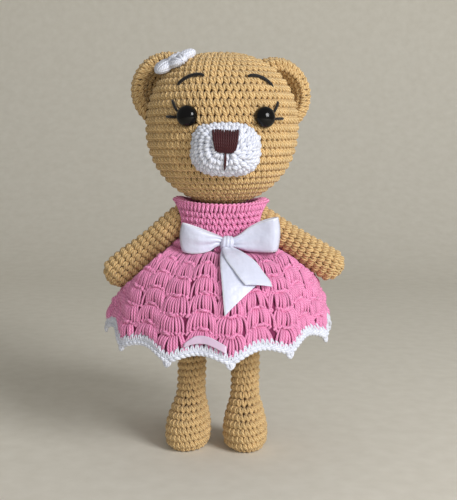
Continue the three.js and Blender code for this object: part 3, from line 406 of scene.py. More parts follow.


# the second colour is painted shade in the ply grooves
tan_yarn = cotton_yarn("tan_cotton_yarn", "#E3C590", "#B6905A")
# the inside of the fabric is painted dark brown, as the shade between the stitches
tan_shade_lining = shaded_inner_fabric("tan_inside_painted_shade", "#5C4022")
single_crochet = single_crochet_tree()
for seed, (name, side) in enumerate(SIDES, 11):
    leg = rings(smooth(LEG_RINGS, 90))
    leg = leg @ turn_about("Z", TOE_OUT[name]).T + [side * HIP_SPREAD, 0, 0]
    limb(name + "_leg", leg, seed)

# Arms
# Two stuffed tubes like the legs, wider towards the rounded hand and worked from the hand up.
# Each is sewn on at the shoulder, where its closed round top turns in the armhole of the dress.
SHOULDER = (19, 113.5)  # sideways and up
ARM_SPREAD = {"left": 57.5, "right": 48.5}  # degrees from hanging straight down
ARM_LENGTH = 40.2  # from the shoulder to the middle of the hand
HAND_RADIUS = 7
ARM_RADIUS = 5.7


def arc(tall, wide, angles):
    """Heights and radii on an oval about Z, at angles in degrees from level up."""
    return [[tall * math.sin(math.radians(a)), wide * math.cos(math.radians(a))] for a in angles]


def round_rings(profile):
    """Round rings about Z from [height, radius]."""
    return rings([[h, r, r, 0] for h, r in profile])


# From the fingertips up: height and radius
hand = [[h - ARM_LENGTH, r] for h, r in arc(HAND_RADIUS, HAND_RADIUS, (-87, -70, -50, -30, -10))]
sleeve = [[-34, 6.75], [-28.9, 6.35], [-22, 5.95], [-16, ARM_RADIUS], [-8, ARM_RADIUS]]
arm_rows = hand + sleeve + arc(ARM_RADIUS, ARM_RADIUS, (0, 30, 60, 86))
for seed, (name, side) in enumerate(SIDES, 21):
    arm = round_rings(smooth(arm_rows, 70))
    arm = arm @ turn_about("Y", -side * ARM_SPREAD[name]).T + [side * SHOULDER[0], 0, SHOULDER[1]]
    limb(name + "_arm", arm, seed)

# Body and neck
# The stuffed body that the dress hides, a pear of tan single crochet with a well for the neck at its top.
# The neck is a stuffed plug with a round top, which the head turns and nods on.
NECK_PIVOT = 120.3
NECK_RADIUS = 7.2
NECK_ROOT = -9.6  # from the pivot
# Height and radius from the bottom up, then down the well
BODY_OUTLINE = [
    [63.1, 0.4], [64.2, 9], [68.4, 15.9], [74.8, 18.9], [82.6, 19.5], [90.3, 18.1], [97.3, 15.6],
    [99.5, 15.3], [106.8, 14.3], [114, 13.3], [117.7, 11.6], [118.8, 10.2],
]
BODY_WELL = [[118.6, 9.2], [114.2, 8.9], [110.1, 8.9], [110.1, 0.4]]
LIMB_ROOM = 7.6  # radius of the room left for a limb in the inner face
STITCH_ROOM = 8.8  # and between the middles of the stitches
ROOM_LENGTH = 26
ROOM_STEP = 0.03  # each room is wider than the last by this, so that no two walls coincide
ARM_LIFTS = (0, 11, 22, 33)  # degrees
LEG_SWINGS = (-20, 0, 25, 50)


def room(root, direction, radius, length):
    """A closed round-ended tube that leaves a room free for a limb."""
    end = [[-radius * math.cos(math.radians(a)), radius * math.sin(math.radians(a))]
           for a in (3, 25, 45, 65, 90)]
    skin = round_rings(end + [[length * i / 8, radius] for i in range(1, 9)])
    z = unit(np.asarray(direction, float))
    x = unit(np.cross([0.0, 1.0, 0.0], z)) if abs(z[1]) < 0.9 else np.array([1.0, 0.0, 0.0])
    return closed_skin(skin @ np.stack([x, np.cross(z, x), z]) + np.asarray(root))


def cut_rooms(skin, ways, radius, length):
    """A skin's points and faces, with a room for a limb cut out of it at each of the limb's ways."""
    rooms = [room(root, way, radius + ROOM_STEP * n, length) for n, (root, way) in enumerate(ways)]
    objects = []
    for n, (points, faces) in enumerate([skin] + rooms):
        mesh = bpy.data.meshes.new(f"room_{n}")
        mesh.from_pydata((points * MM).tolist(), [], faces)
        objects.append(bpy.data.objects.new(f"room_{n}", mesh))
        bpy.context.scene.collection.objects.link(objects[-1])
    for tool in objects[1:]:
        modifier = objects[0].modifiers.new("room", "BOOLEAN")
        modifier.operation = "DIFFERENCE"
        modifier.solver = "EXACT"
        modifier.object = tool
    graph = bpy.context.evaluated_depsgraph_get()
    result = bpy.data.meshes.new_from_object(objects[0].evaluated_get(graph), depsgraph=graph)
    points = np.empty(len(result.vertices) * 3)
    result.vertices.foreach_get("co", points)
    faces = [tuple(face.vertices) for face in result.polygons]
    for obj in objects:
        mesh = obj.data
        bpy.data.objects.remove(obj)
        bpy.data.meshes.remove(mesh)
    bpy.data.meshes.remove(result)
    return points.reshape(-1, 3) / MM, faces


def clear_of(points, ways, radius, length):
    """Which points lie further than a radius from a limb's axis at all of its ways."""
    clear = np.ones(len(points), bool)
    for root, way in ways:
        along = np.clip((points - root) @ unit(way), 0, length)
        clear &= np.linalg.norm(points - root - along[:, None] * unit(way), axis=1) > radius
    return clear


# Where each limb's root is and which way the limb points, at some of its lifts or swings
arm_ways = [(np.array([side * SHOULDER[0], 0, SHOULDER[1]]),
             turn_about("Y", -side * (ARM_SPREAD[name] + lift)) @ [0, 0, -1.0])
            for name, side in SIDES for lift in ARM_LIFTS]
leg_ways = [(np.array([side * HIP_SPREAD, 0, HIP_HEIGHT]), turn_about("X", -swing) @ [0, 0, -1.0])
            for _, side in SIDES for swing in LEG_SWINGS]
limb_ways = arm_ways[::len(ARM_LIFTS)] + leg_ways
body = round_rings(smooth(BODY_OUTLINE, 60))
inner_body = np.concatenate([body - LINING_DEPTH * outwards(body), round_rings(BODY_WELL)])
stitches = worked_rounds(body, LIMB_GAUGE)
stitches = only(stitches, clear_of(stitches["place"], limb_ways, STITCH_ROOM, ROOM_LENGTH))
piece = crocheted("body", cut_rooms(closed_skin(inner_body), limb_ways, LIMB_ROOM, ROOM_LENGTH), stitches,
                  tan_yarn, tan_shade_lining, LIMB_GAUGE, seed=31)
fitted(piece, "torso", "tan_yarn", "body_cover", "body_stuffing")

neck_rows = [[NECK_ROOT, 0.4], [NECK_ROOT, NECK_RADIUS]] + arc(NECK_RADIUS, NECK_RADIUS, (0, 25, 50, 70, 86))
neck = round_rings([[h + NECK_PIVOT, r] for h, r in neck_rows])
piece = crocheted("neck", lined(neck), worked_rounds(neck[1:], LIMB_GAUGE), tan_yarn, tan_shade_lining,
                  LIMB_GAUGE, seed=32)
fitted(piece, "neck", "tan_yarn", "neck_plug")

# Head
# One stuffed ball of tan single crochet, squarer above than below, turned a little to the bear's left.
# It is worked in a spiral from the neck hole up, and the hole seats on the neck's round top.
HEAD_GAUGE = (3.15, 3.75, 1.9)
HEAD_RADIUS = 36.8
HEAD_CROWN = 36.5  # the centre up to the crown
HEAD_CHIN = 36.2
HEAD_LIFT = 35.95  # the neck's pivot up to the head's centre
HEAD_TURN = 3.4  # degrees
CROWN_FULLNESS = 2.3  # exponent of the outline above the centre, 2 is round
SINK = 1.3  # the middle of a stitch lies this far inside the outline that it makes
NECK_SEAT = 9.1
EYE_PLACE = (16.93, 5.6)  # sideways and up from the head's centre
EYE_ROOM = 3.2  # no stitches under an eye
MUZZLE_RISE = -8.4
MUZZLE_ROOM = (12.4, 9.2)


def head_row(degrees):
    a = math.radians(abs(degrees))
    bend = 2 / CROWN_FULLNESS if degrees > 0 else 1
    tall = (HEAD_CROWN if degrees > 0 else HEAD_CHIN) - SINK
    high = HEAD_LIFT + math.copysign(tall, degrees) * math.sin(a) ** bend
    return [high, (HEAD_RADIUS - SINK) * max(math.cos(a), 0) ** bend]


def out_of_head(points):
    """How far points lie outside the head, as shares of its size from its centre."""
    up = points[..., 2] - HEAD_LIFT
    power = np.where(up > 0, CROWN_FULLNESS, 2)
    tall = np.where(up > 0, HEAD_CROWN, HEAD_CHIN)
    level = np.hypot(points[..., 0], points[..., 1]) / HEAD_RADIUS
    return (level ** power + (np.abs(up) / tall) ** power) ** (1 / power)


def on_face(side, rise):
    """The point on the head's outside straight ahead of a place given sideways and up from its centre."""
    side, rise = np.asarray(side, float), np.asarray(rise, float)
    power = np.where(rise > 0, CROWN_FULLNESS, 2)
    level = np.abs(rise) / np.where(rise > 0, HEAD_CROWN, HEAD_CHIN)
    wide = HEAD_RADIUS * (1 - level ** power) ** (1 / power)
    return np.stack([side, -np.sqrt(wide ** 2 - side ** 2), HEAD_LIFT + rise], axis=-1)


def from_centre(point):
    return unit(point - [0, 0, HEAD_LIFT])


def on_bear(points):
    """Places of the head, given from the neck's pivot and facing forwards, where they are on the bear."""
    return points @ turn_about("Z", HEAD_TURN).T + [0, 0, NECK_PIVOT]


def crocheted_on_head(name, lining, stitches, yarn, shade_lining_material, gauge, seed):
    """A crocheted piece of the head, given from the neck's pivot and facing forwards."""
    turn = turn_about("Z", HEAD_TURN).T
    stitches = {"place": on_bear(stitches["place"]), "across": stitches["across"] @ turn,
                "outward": stitches["outward"] @ turn, "stretch": stitches["stretch"]}
    return crocheted(name, (on_bear(lining[0]), lining[1]), stitches, yarn, shade_lining_material, gauge, seed)


head = round_rings([head_row(a) for a in np.linspace(-75.5, 88, 80)])
seat = round_rings(arc(NECK_SEAT, NECK_SEAT, (86, 65, 45, 25, 8)))
head_lining = closed_skin(np.concatenate([seat, head - LINING_DEPTH * outwards(head)]))
stitches = worked_rounds(head, HEAD_GAUGE)
x, y, z = (stitches["place"] - [0, 0, HEAD_LIFT]).T
under_muzzle = np.hypot(x / MUZZLE_ROOM[0], (z - MUZZLE_RISE) / MUZZLE_ROOM[1]) < 1
under_eye = np.hypot(np.abs(x) - EYE_PLACE[0], z - EYE_PLACE[1]) < EYE_ROOM
stitches = only(stitches, ~((y < 0) & (under_muzzle | under_eye)))
piece = crocheted_on_head("head", head_lining, stitches, tan_yarn, tan_shade_lining, HEAD_GAUGE, seed=41)
fitted(piece, "head", "tan_yarn", "head_cover", "head_stuffing")

# Ears
# Two cups of tan single crochet, worked from the middle of the back over the rim and into the hollow.
# Each is sewn to the side of the head, opening forwards and a little outwards.
EAR_GAUGE = (2.9, 3.0, 1.9)
EAR_LINING_DEPTH = 0.7
EAR_SIDE = 26.2
EAR_BACK = 8
EAR_RISE = {"left": 16.8, "right": 18.4}
EAR_SPLAY = 14  # degrees
EAR_CUP = (11.2, 17.3)  # depth and radius of the back
EAR_HOLLOW = (9.0, 12.5)
EAR_RIM = (2.4, 14.9)  # radius of the rolled rim, and of the circle that it follows

ear_rows = arc(-EAR_CUP[0], EAR_CUP[1], (87, 70, 50, 30, 12))
ear_rows += [[h, EAR_RIM[1] + r] for h, r in arc(EAR_RIM[0], EAR_RIM[0], (0, 45, 90, 135, 180))]
ear_rows += arc(-EAR_HOLLOW[0], EAR_HOLLOW[1], (20, 45, 70, 87))
for seed, (name, side) in enumerate(SIDES, 51):
    cup = round_rings(smooth(ear_rows, 80))
    cup = cup @ turn_about("X", 90).T @ turn_about("Z", side * EAR_SPLAY).T
    cup = cup + [side * EAR_SIDE, EAR_BACK, HEAD_LIFT + EAR_RISE[name]]
    stitches = worked_rounds(cup, EAR_GAUGE)
    stitches = only(stitches, out_of_head(stitches["place"]) > 1.0)
    piece = crocheted_on_head(name + "_ear_crochet", lined(cup, EAR_LINING_DEPTH), stitches,
                              tan_yarn, tan_shade_lining, EAR_GAUGE, seed)
    fitted(piece, "head", "tan_yarn", name + "_ear")

# Muzzle
# An oval dome of white single crochet over stuffing, worked outwards from its middle.
# It is sewn to the face along its rim, below and between the eyes.
MUZZLE_GAUGE = (3.4, 3.2, 2.25)
MUZZLE_LINING_DEPTH = 0.8
MUZZLE_SINK = 1.1
MUZZLE_HALF = (15.8, 12.3)
MUZZLE_SQUARENESS = 2.9  # exponent of its outline, 2 is a plain oval
MUZZLE_FULLNESS = 2.5  # and of its dome
MUZZLE_FRONT = 45.4  # before the middle of the head
MUZZLE_BACK = 29.8
MUZZLE_RIM = 6  # the rim runs on into the head
DOME_ROWS = (3, 8, 14, 20, 27, 34, 42, 50, 58, 66, 73, 79, 84, 88, 90)  # degrees from its middle
# the second colour is painted shade in the ply grooves
white_yarn = cotton_yarn("white_cotton_yarn", "#EDF0FA", "#D2D6E5")
# the inside of the fabric is painted pale grey, as the shade between the white stitches
white_shade_lining = shaded_inner_fabric("white_inside_painted_shade", "#D6D8E2")


def squared(wave):
    """A sine or cosine that draws an oval with fuller corners."""
    return np.sign(wave) * np.abs(wave) ** (2 / MUZZLE_SQUARENESS)


fine = np.linspace(0, 2 * math.pi, 721) + math.pi
oval = [half * squared(wave) for half, wave in zip(MUZZLE_HALF, (np.sin(fine), np.cos(fine)))]
walked = running(np.hypot(np.diff(oval[0]), np.diff(oval[1])))
a = np.interp(walked[-1] * np.arange(AROUND) / AROUND, walked, fine)
dome = []
for angle in DOME_ROWS:
    spread = math.sin(math.radians(angle)) ** (2 / MUZZLE_FULLNESS)
    ahead = max(math.cos(math.radians(angle)), 0) ** (2 / MUZZLE_FULLNESS)
    depth = MUZZLE_BACK + (MUZZLE_FRONT - MUZZLE_SINK - MUZZLE_BACK) * ahead
    rise = spread * (MUZZLE_HALF[1] - MUZZLE_SINK) * squared(np.cos(a))
    dome.append(np.stack([spread * (MUZZLE_HALF[0] - MUZZLE_SINK) * squared(np.sin(a)), 0 * a - depth,
                          HEAD_LIFT + MUZZLE_RISE + rise], axis=1))
dome = np.array(dome + [dome[-1] + [0, MUZZLE_RIM, 0]])
stitches = worked_rounds(dome, MUZZLE_GAUGE)
stitches = only(stitches, out_of_head(stitches["place"]) > 0.99)
piece = crocheted_on_head("muzzle", lined(dome, MUZZLE_LINING_DEPTH), stitches, white_yarn, white_shade_lining,
                          MUZZLE_GAUGE, seed=61)
fitted(piece, "head", "white_yarn", "muzzle_cover", "muzzle_stuffing")

# Nose and mouth
# A patch of dark brown thread in satin stitch, laid side by side from its wide top to its narrow foot.
# One more stitch of the same thread runs down from it for the mouth.
NOSE_TOP, NOSE_FOOT = -0.3, -10.1  # from the head's centre
NOSE_SIDE = -0.7  # sewn a little to one side
NOSE_HALF = (5.4, 4.1)  # half width at the top and at the foot
NOSE_THREADS = 11
NOSE_THREAD = 1.3
MOUTH = (-10.4, -18)
MOUTH_THREAD = 1.2


def yarn_strands_tree():
    """Nodes that spin yarn along the edges of a mesh, as thick as each point asks."""
    tree = bpy.data.node_groups.new("yarn_strands", "GeometryNodeTree")
    name_inputs(tree, {"Geometry": "Geometry", "Yarn Thickness": "Float", "Sides": "Int", "Yarn": "Material"})
    given = add(tree, "NodeGroupInput").outputs
    lines = add(tree, "GeometryNodeMeshToCurve", {0: given["Geometry"]})
    fatness = add(tree, "GeometryNodeInputNamedAttribute", {"Name": "plump"}, data_type="FLOAT")
    yarns = spun(tree, lines.outputs[0], given["Yarn Thickness"], given["Sides"], fatness)
    made = add(tree, "GeometryNodeRealizeInstances", {0: yarns})
    made = add(tree, "GeometryNodeSetShadeSmooth", {0: made})
    made = add(tree, "GeometryNodeSetMaterial", {"Geometry": made, "Material": given["Yarn"]})
    add(tree, "NodeGroupOutput", {0: made})
    return tree


def laid(name, lines, yarn, thickness, seed, sides=6):
    """Yarn laid along lines of points, each line with its own fatness at each point."""
    starts = running([len(line) for line, _ in lines]).astype(int).tolist()
    edges = [(k, k + 1) for first, last in zip(starts, starts[1:]) for k in range(first, last - 1)]
    tints = np.repeat(np.random.default_rng(seed).random(len(lines)), np.diff(starts))
    mesh = bpy.data.meshes.new(name)
    mesh.from_pydata(in_frame(np.vstack([line for line, _ in lines])).tolist(), edges, [])
    keep(mesh, "plump", "FLOAT", np.concatenate([fat for _, fat in lines]).astype(np.float32))
    keep(mesh, "tint", "FLOAT", tints.astype(np.float32))
    return worked(bpy.data.objects.new(name, mesh), yarn_strands,
                  {"Yarn Thickness": thickness * MM, "Sides": sides, "Yarn": yarn})


def between(start, end, share):
    return start + (end - start) * share


def on_muzzle(side, rise, off):
    """The point on the muzzle's outside at a place given sideways and up from the head's centre."""
    level = (np.abs(side / MUZZLE_HALF[0]) ** MUZZLE_SQUARENESS
             + np.abs((rise - MUZZLE_RISE) / MUZZLE_HALF[1]) ** MUZZLE_SQUARENESS) ** (1 / MUZZLE_SQUARENESS)
    ahead = (1 - np.minimum(level, 1) ** MUZZLE_FULLNESS) ** (1 / MUZZLE_FULLNESS)
    return np.stack([side, -between(MUZZLE_BACK, MUZZLE_FRONT, ahead) - off, HEAD_LIFT + rise], axis=-1)


yarn_strands = yarn_strands_tree()
# the second colour is painted shade in the ply grooves
brown_thread = cotton_yarn("brown_embroidery_thread", "#4C0F18", "#200508", rough=0.5)
t = np.linspace(0, 1, 9)
bulge = np.sin(math.pi * t) ** 0.6
threads = []
for n in range(NOSE_THREADS):
    f = 2 * n / (NOSE_THREADS - 1) - 1
    foot = NOSE_FOOT + 0.9 * abs(f) ** 6
    uneven = 0.15 * math.sin(7 * n)
    side = NOSE_SIDE + f * between(*NOSE_HALF, t ** 1.4)
    rise = NOSE_TOP + uneven + (foot - NOSE_TOP) * t
    threads.append((on_bear(on_muzzle(side, rise, 0.1 + 0.7 * bulge)), 0.75 + 0.25 * bulge))
piece = laid("nose", threads, brown_thread, NOSE_THREAD, seed=71, sides=8)
fitted(piece, "head", "brown_thread", "nose_embroidery")
line = on_bear(on_muzzle(NOSE_SIDE + 0 * t, between(*MOUTH, t), -0.4 + 0.8 * bulge))
piece = laid("mouth", [(line, 0.7 + 0.3 * bulge)], brown_thread, MOUTH_THREAD, seed=72, sides=8)
fitted(piece, "head", "brown_thread", "mouth_stitch")

# Eyes
# Two black plastic safety eyes, domed and polished, with a plain rim and a shank through the fabric.
# A plastic washer inside the head holds each shank.
EYE_RADIUS = 4.9
EYE_DOME = 3.9
EYE_FLANGE = 0.8
EYE_STANDOFF = 0.3
SHANK = (1.9, 7.5)  # radius and length


def polished_plastic(name, colour, rough, fleck):
    """Moulded plastic: an even gloss, broken a little by fine handling scuffs."""
    material, tree = new_material(name)
    scuffs = mottle(tree, fleck, detail=4.0)
    dull = add(tree, "ShaderNodeMapRange",
               {"Value": scuffs, "From Min": 0.35, "From Max": 0.75, "To Min": rough, "To Max": rough + 0.16})
    finish_surface(tree, {"Base Color": linear(colour), "Roughness": dull, "IOR": 1.5,
                          "Specular IOR Level": 0.3,
                          "Normal": relief(tree, scuffs, strength=0.05, depth=0.05)})
    return material


def plain_mesh(name, skin, material):
    points, faces = skin
    mesh = bpy.data.meshes.new(name)
    mesh.from_pydata(in_frame(points).tolist(), [], faces)
    mesh.materials.append(material)
    mesh.shade_smooth()
    obj = bpy.data.objects.new(name, mesh)
    bpy.context.scene.collection.objects.link(obj)
    return obj


def tipped_to(outward):
    """The shortest turn that brings Z to point outward."""
    x, y, z = unit(np.asarray(outward, float))
    tilt = np.array([[0, 0, x], [0, 0, y], [-x, -y, 0]])
    return np.eye(3) + tilt + tilt @ tilt / (1 + z)


black_plastic = polished_plastic("black_eye_plastic", "#070606", rough=0.06, fleck=1.4)
washer_plastic = polished_plastic("washer_plastic", "#DAD9D3", rough=0.4, fleck=0.8)
eye_rows = [[-SHANK[1], 0.3], [-SHANK[1], SHANK[0]], [-0.2, SHANK[0]], [0, SHANK[0] + 0.2],
            [0, EYE_RADIUS - 0.15], [0.15, EYE_RADIUS], [EYE_FLANGE - 0.1, EYE_RADIUS]]
eye_rows += [[EYE_FLANGE + h, EYE_RADIUS * r ** 0.92 - 0.04]
             for h, r in arc(EYE_DOME, 1, (3, 10, 20, 30, 40, 50, 60, 70, 78, 84, 87))]
for name, side in SIDES:
    seat = on_face(side * EYE_PLACE[0], EYE_PLACE[1])
    outward = from_centre(seat)
    dome = round_rings(eye_rows) @ tipped_to(outward).T + seat + EYE_STANDOFF * outward
    fitted(plain_mesh(name + "_safety_eye", closed_skin(on_bear(dome)), black_plastic),
           "head", "black_eye", name + "_eye")
    washer = bpy.data.objects[name + "_eye_washer"]
    washer.data.materials.clear()
    washer.data.materials.append(washer_plastic)

# Brows and lashes
# Single stitches of black thread on the fabric: a bent brow over each eye, and two short lashes beside it.
BROW = [(10, 24.2), (15.6, 24.6), (21.8, 19.9)]  # sideways and up from the head's centre
BROW_THICKNESS = 1.6
LASHES = {"upper_lash": (24, 66, 5.8), "outer_lash": (-6, 3, 4.6)}  # root and slant in degrees, length
LASH_GAP = 0.2
LASH_THICKNESS = 1.3
# the second colour is painted shade in the ply grooves
black_thread = cotton_yarn("black_embroidery_thread", "#1A1718", "#080707", rough=0.6)


def face_thread(name, across, rise, lift, plump, thickness, seed):
    """One stitch on the face, lifted off it at its middle and sunk in at its ends."""
    place = on_face(across, rise)
    line = on_bear(place) + lift[:, None] * from_centre(place)
    piece = laid(name + "_thread", [(line, plump)], black_thread, thickness, seed, sides=8)
    fitted(piece, "head", "black_thread", name)


t = np.linspace(0, 1, 11)
sunk = np.sin(math.pi * t) ** 0.4
for name, side in SIDES:
    start, bend, end = np.array(BROW)[:, :, None]
    out, rise = (1 - t) ** 2 * start + 2 * t * (1 - t) * bend + t * t * end
    face_thread(name + "_brow", side * out, rise, 1.15 * sunk - 0.5, 0.7 + 0.3 * sunk, BROW_THICKNESS,
                seed=81)
    for lash, (root, slant, length) in LASHES.items():
        root, slant = math.radians(root), math.radians(slant)
        out = EYE_PLACE[0] + (EYE_RADIUS + LASH_GAP) * math.cos(root) + length * t * math.cos(slant)
        rise = EYE_PLACE[1] + (EYE_RADIUS + LASH_GAP) * math.sin(root) + length * t * math.sin(slant)
        face_thread(f"{name}_{lash}", side * out, rise, sunk - 0.45, 0.65 + 0.35 * sunk, LASH_THICKNESS,
                    seed=82)

# Hair flower
# Five puffed petals of white yarn round a middle, worked flat and sewn to the crown beside the right ear.
FLOWER_SIDE = 34  # degrees from straight up
FLOWER_FORWARD = 10.5
FLOWER_TILT = 27  # it lies flatter than the crown under it
FLOWER_SHIFT = (-1.9, 0, -0.7)
PETALS = 5
PETAL_MIDDLE = 6.2
PETAL_HALF = (4.6, 4.0, 1.7)  # along, across and through a petal
PETAL_YARNS = 10
FLOWER_MIDDLE = (2.6, 0.9, 1.2)  # half width, height and swell of the loops over the middle
FLOWER_YARN = 2.0
outward = turn_about("Y", -FLOWER_SIDE) @ turn_about("X", FLOWER_FORWARD) @ [0, 0, 1.0]
centre = np.array([0, 0, HEAD_LIFT])
seat = centre + outward * (1 / out_of_head(centre + outward) + 1.0) + FLOWER_SHIFT
facing = tipped_to(turn_about("Y", -FLOWER_TILT) @ turn_about("X", FLOWER_FORWARD) @ [0, 0, 1.0]).T
t = np.linspace(0.04, 0.96, 9) * math.pi
arch = np.sin(t)
petals = []
for n in range(PETALS):
    for turn in 2 * math.pi * np.arange(PETAL_YARNS) / PETAL_YARNS:
        line = np.stack([PETAL_MIDDLE - PETAL_HALF[0] * np.cos(t), PETAL_HALF[1] * arch * math.cos(turn),
                         PETAL_HALF[2] * arch * math.sin(turn)], axis=1)
        line = line @ turn_about("Z", 360 * n / PETALS).T
        petals.append((on_bear(line @ facing + seat), 0.6 + 0.4 * arch))
    half, high, swell = FLOWER_MIDDLE
    line = np.stack([-half * np.cos(t), 0 * t, high + swell * arch], axis=1)
    line = line @ turn_about("Z", 360 * n / PETALS + 20).T
    petals.append((on_bear(line @ facing + seat), 0.7 + 0.3 * arch))
fitted(laid("flower", petals, white_yarn, FLOWER_YARN, seed=91), "head", "white_yarn", "hair_flower")

# Dress bodice
# A short sleeveless yoke of pink cotton, worked in rounds of single crochet up from the waist.
# Tall stitches and chained edges finish the neckline, and the arms pass through its chained armholes.
WAIST = 99.5
BODICE_WAIST = 19.4
YOKE = (23, 17.2)  # half width and half depth at the neckline
NECKLINE = (121, 123.2)  # height in front and at the shoulders
BODICE_GAUGE = (2.7, 3.2, 1.6)
TALL_FROM = 0.83  # share of the bodice's height where the last, tall round starts
TALL_STITCHES = 66
EDGE_THICKNESS = 1.75
# Chains of the rim from the outside in: inset and share of the height in front, then over the shoulders
RIM = [(1.3, 0.985, 0.6, 0.955), (2.4, 0.955, 1.9, 0.98), (3.2, 0.93, 3.2, 0.985), (3.9, 0.9, 4.5, 0.96)]
CLOTH_INSET = (1.5, 2.1)  # outer and inner face of the cloth behind the stitches
STITCH_INSET = 1.05
# How far the cloth, the rounds, the tall stitches and the armhole's chain keep from the middle of an arm
ARM_ROOMS = {"cloth": 7.5, "rounds": 8.3, "tall": 7.9, "chain": 8.0}
ARM_REACH = 30
ARMHOLE_CHAINS = 38
ARMHOLE_MIDDLE = 0.58  # share of the bodice's height
# the second colour is painted shade in the ply grooves
pink_yarn = cotton_yarn("pink_cotton_yarn", "#FFA9D4", "#D06E9F")
# the inside of the fabric is painted dark pink, as the shade between and behind the pink stitches
pink_shade_lining = shaded_inner_fabric("pink_inside_painted_shade", "#8E3A63")


def bodice_at(angle, share, inset):
    neckline = between(*NECKLINE, np.cos(angle) ** 2)
    wide, deep = [between(BODICE_WAIST, half, share) - inset for half in YOKE]
    return np.stack([wide * np.cos(angle), deep * np.sin(angle), between(WAIST, neckline, share)], axis=-1)


def rim_at(angle, row):
    """How far in and how far up a chain of the rim lies at an angle round the neck."""
    front_inset, front_share, side_inset, side_share = RIM[row]
    side = np.cos(angle) ** 2
    return between(front_inset, side_inset, side), between(front_share, side_share, side)


def free_of_arms(points, part):
    return clear_of(points, arm_ways, ARM_ROOMS[part], ARM_REACH)


a = math.pi / 2 + 2 * math.pi * np.arange(AROUND) / AROUND
shares = np.linspace(0.02, 0.97, 20)[:, None]
cloth = np.concatenate([bodice_at(a, shares, CLOTH_INSET[0]), bodice_at(a, shares[::-1], CLOTH_INSET[1])])
cloth = cut_rooms(closed_skin(cloth, is_hoop=True), arm_ways, ARM_ROOMS["cloth"], ARM_REACH)
# a sheet behind the stitches, painted dark pink as the shade seen between them
bodice_shade_cloth = fitted(plain_mesh("bodice_shade_cloth", cloth, pink_shade_lining), "torso", "pink_yarn")
yoke = bodice_at(a, np.linspace(0.03, TALL_FROM, 20)[:, None], STITCH_INSET)
stitches = worked_rounds(yoke, BODICE_GAUGE, climb=0)
stitches = only(stitches, free_of_arms(stitches["place"], "rounds"))
no_lining = (np.zeros((0, 3)), [])
bodice_stitches = crocheted("bodice_stitches", no_lining, stitches, pink_yarn, pink_shade_lining, BODICE_GAUGE,
                            seed=101)
fitted(bodice_stitches, "torso", "pink_yarn", "dress_bodice")
t = np.linspace(0, 1, 7)
arch = np.sin(math.pi * t)
edge = []
for n in range(TALL_STITCHES):
    angle = math.pi / 2 + 2 * math.pi * (n + 0.35 * (t - 0.5)) / TALL_STITCHES
    inset, share = rim_at(angle, 0)
    line = bodice_at(angle, between(TALL_FROM, share, t), 1 - 0.5 * arch + (inset - 0.8) * t ** 3)
    if free_of_arms(line, "tall").all():
        edge.append((line, 0.72 + 0.34 * arch ** 0.7))
    for row in range(len(RIM)):
        angle = math.pi / 2 + 2 * math.pi * (n + 0.5 * row + 0.8 * (t - 0.5)) / TALL_STITCHES
        inset, share = rim_at(angle, row)
        line = bodice_at(angle, share, inset - 0.4 * arch)
        edge.append((line + [0, 0, 0.2] * arch[:, None], 0.75 + 0.35 * arch))
out = np.linspace(0, 1, 240)
for middle in (0, math.pi):
    # the edge of an armhole: on each ray out of its middle, the first place that is clear of the arm
    hole = []
    for turn in 2 * math.pi * np.arange(AROUND) / AROUND:
        share = ARMHOLE_MIDDLE + 0.6 * out * math.sin(turn)
        ray = bodice_at(middle + out * math.cos(turn), share, 0.9)
        hole.append(ray[np.argmax(free_of_arms(ray, "chain") | (share > 0.93) | (share < 0.03))])
    hole = np.array(hole + hole[:1])
    walked = running(np.linalg.norm(np.diff(hole, axis=0), axis=1))
    for n in range(ARMHOLE_CHAINS):
        way = walked[-1] * (n + 1.2 * t) / ARMHOLE_CHAINS % walked[-1]
        line = np.stack([np.interp(way, walked, hole[:, axis]) for axis in range(3)], axis=1)
        edge.append((line, 0.68 + 0.3 * arch))
bodice_edge = fitted(laid("bodice_edge", edge, pink_yarn, EDGE_THICKNESS, seed=102), "torso", "pink_yarn")

# Skirt
# A bell of pink cotton in shell stitch, gathered at the waist: fans of tall stitches in 24 columns.
# Each fan is worked into the chain at the foot of the fan above it, so the columns stand out like ribs.
SKIRT_CURVE = [[17.2, 99.2], [21.88, 99.2], [26.56, 98.9], [32.8, 96.9], [39.456, 91.622], [45.488, 82.69],
               [50.272, 70.104], [53.6, 56.3]]  # radius and height
SCALLOPS = 12
SCALLOP_TURN = math.radians(6 - 90)
SCALLOP_DEPTH = 4.6
FOLD_DEPTH = 2.0
HEM_SIDE_LIFT = 6.5
HEM_SKEW = math.radians(12)
PUFF = (3, math.radians(58), math.radians(12), 0.14, 0.78)  # height, angle, spread, where it starts and ends
HANGING_FOLDS = [(-119, 8, -1.6), (-101, 7, 0.7), (-62, 7, -1.0)]  # place and spread in degrees, height
PRESSED_SLOPE = 0.15  # rise of the cloth that an arm presses down, away from the arm
PRESSED_REACH = 56.8  # along the arm
PRESSED_GAP = 0.9
SKIRT_DEPTHS = (-2.1, -1.0)  # inner and outer face of the cloth behind the stitches
COLUMNS = 24
FAN_ROWS = 6
FIRST_ROW = (0.11, 0.47)  # shares of the skirt, gathered
FAN_POSTS = 10
SKIRT_YARN = 1.5
THICKEST_POST = 1.6
FAN_SINK = 0.8  # the ends of its strands lie this far in
FAN_SAG = 0.26  # how far a fan's outer posts reach below its middle ones, as a share of its height
# How unevenly the hand works, as shares of a column, a fan and a post
UNEVEN = {"place": 0.05, "height": 0.16, "droop": 0.06, "lean": 0.03, "thickness": 0.07}


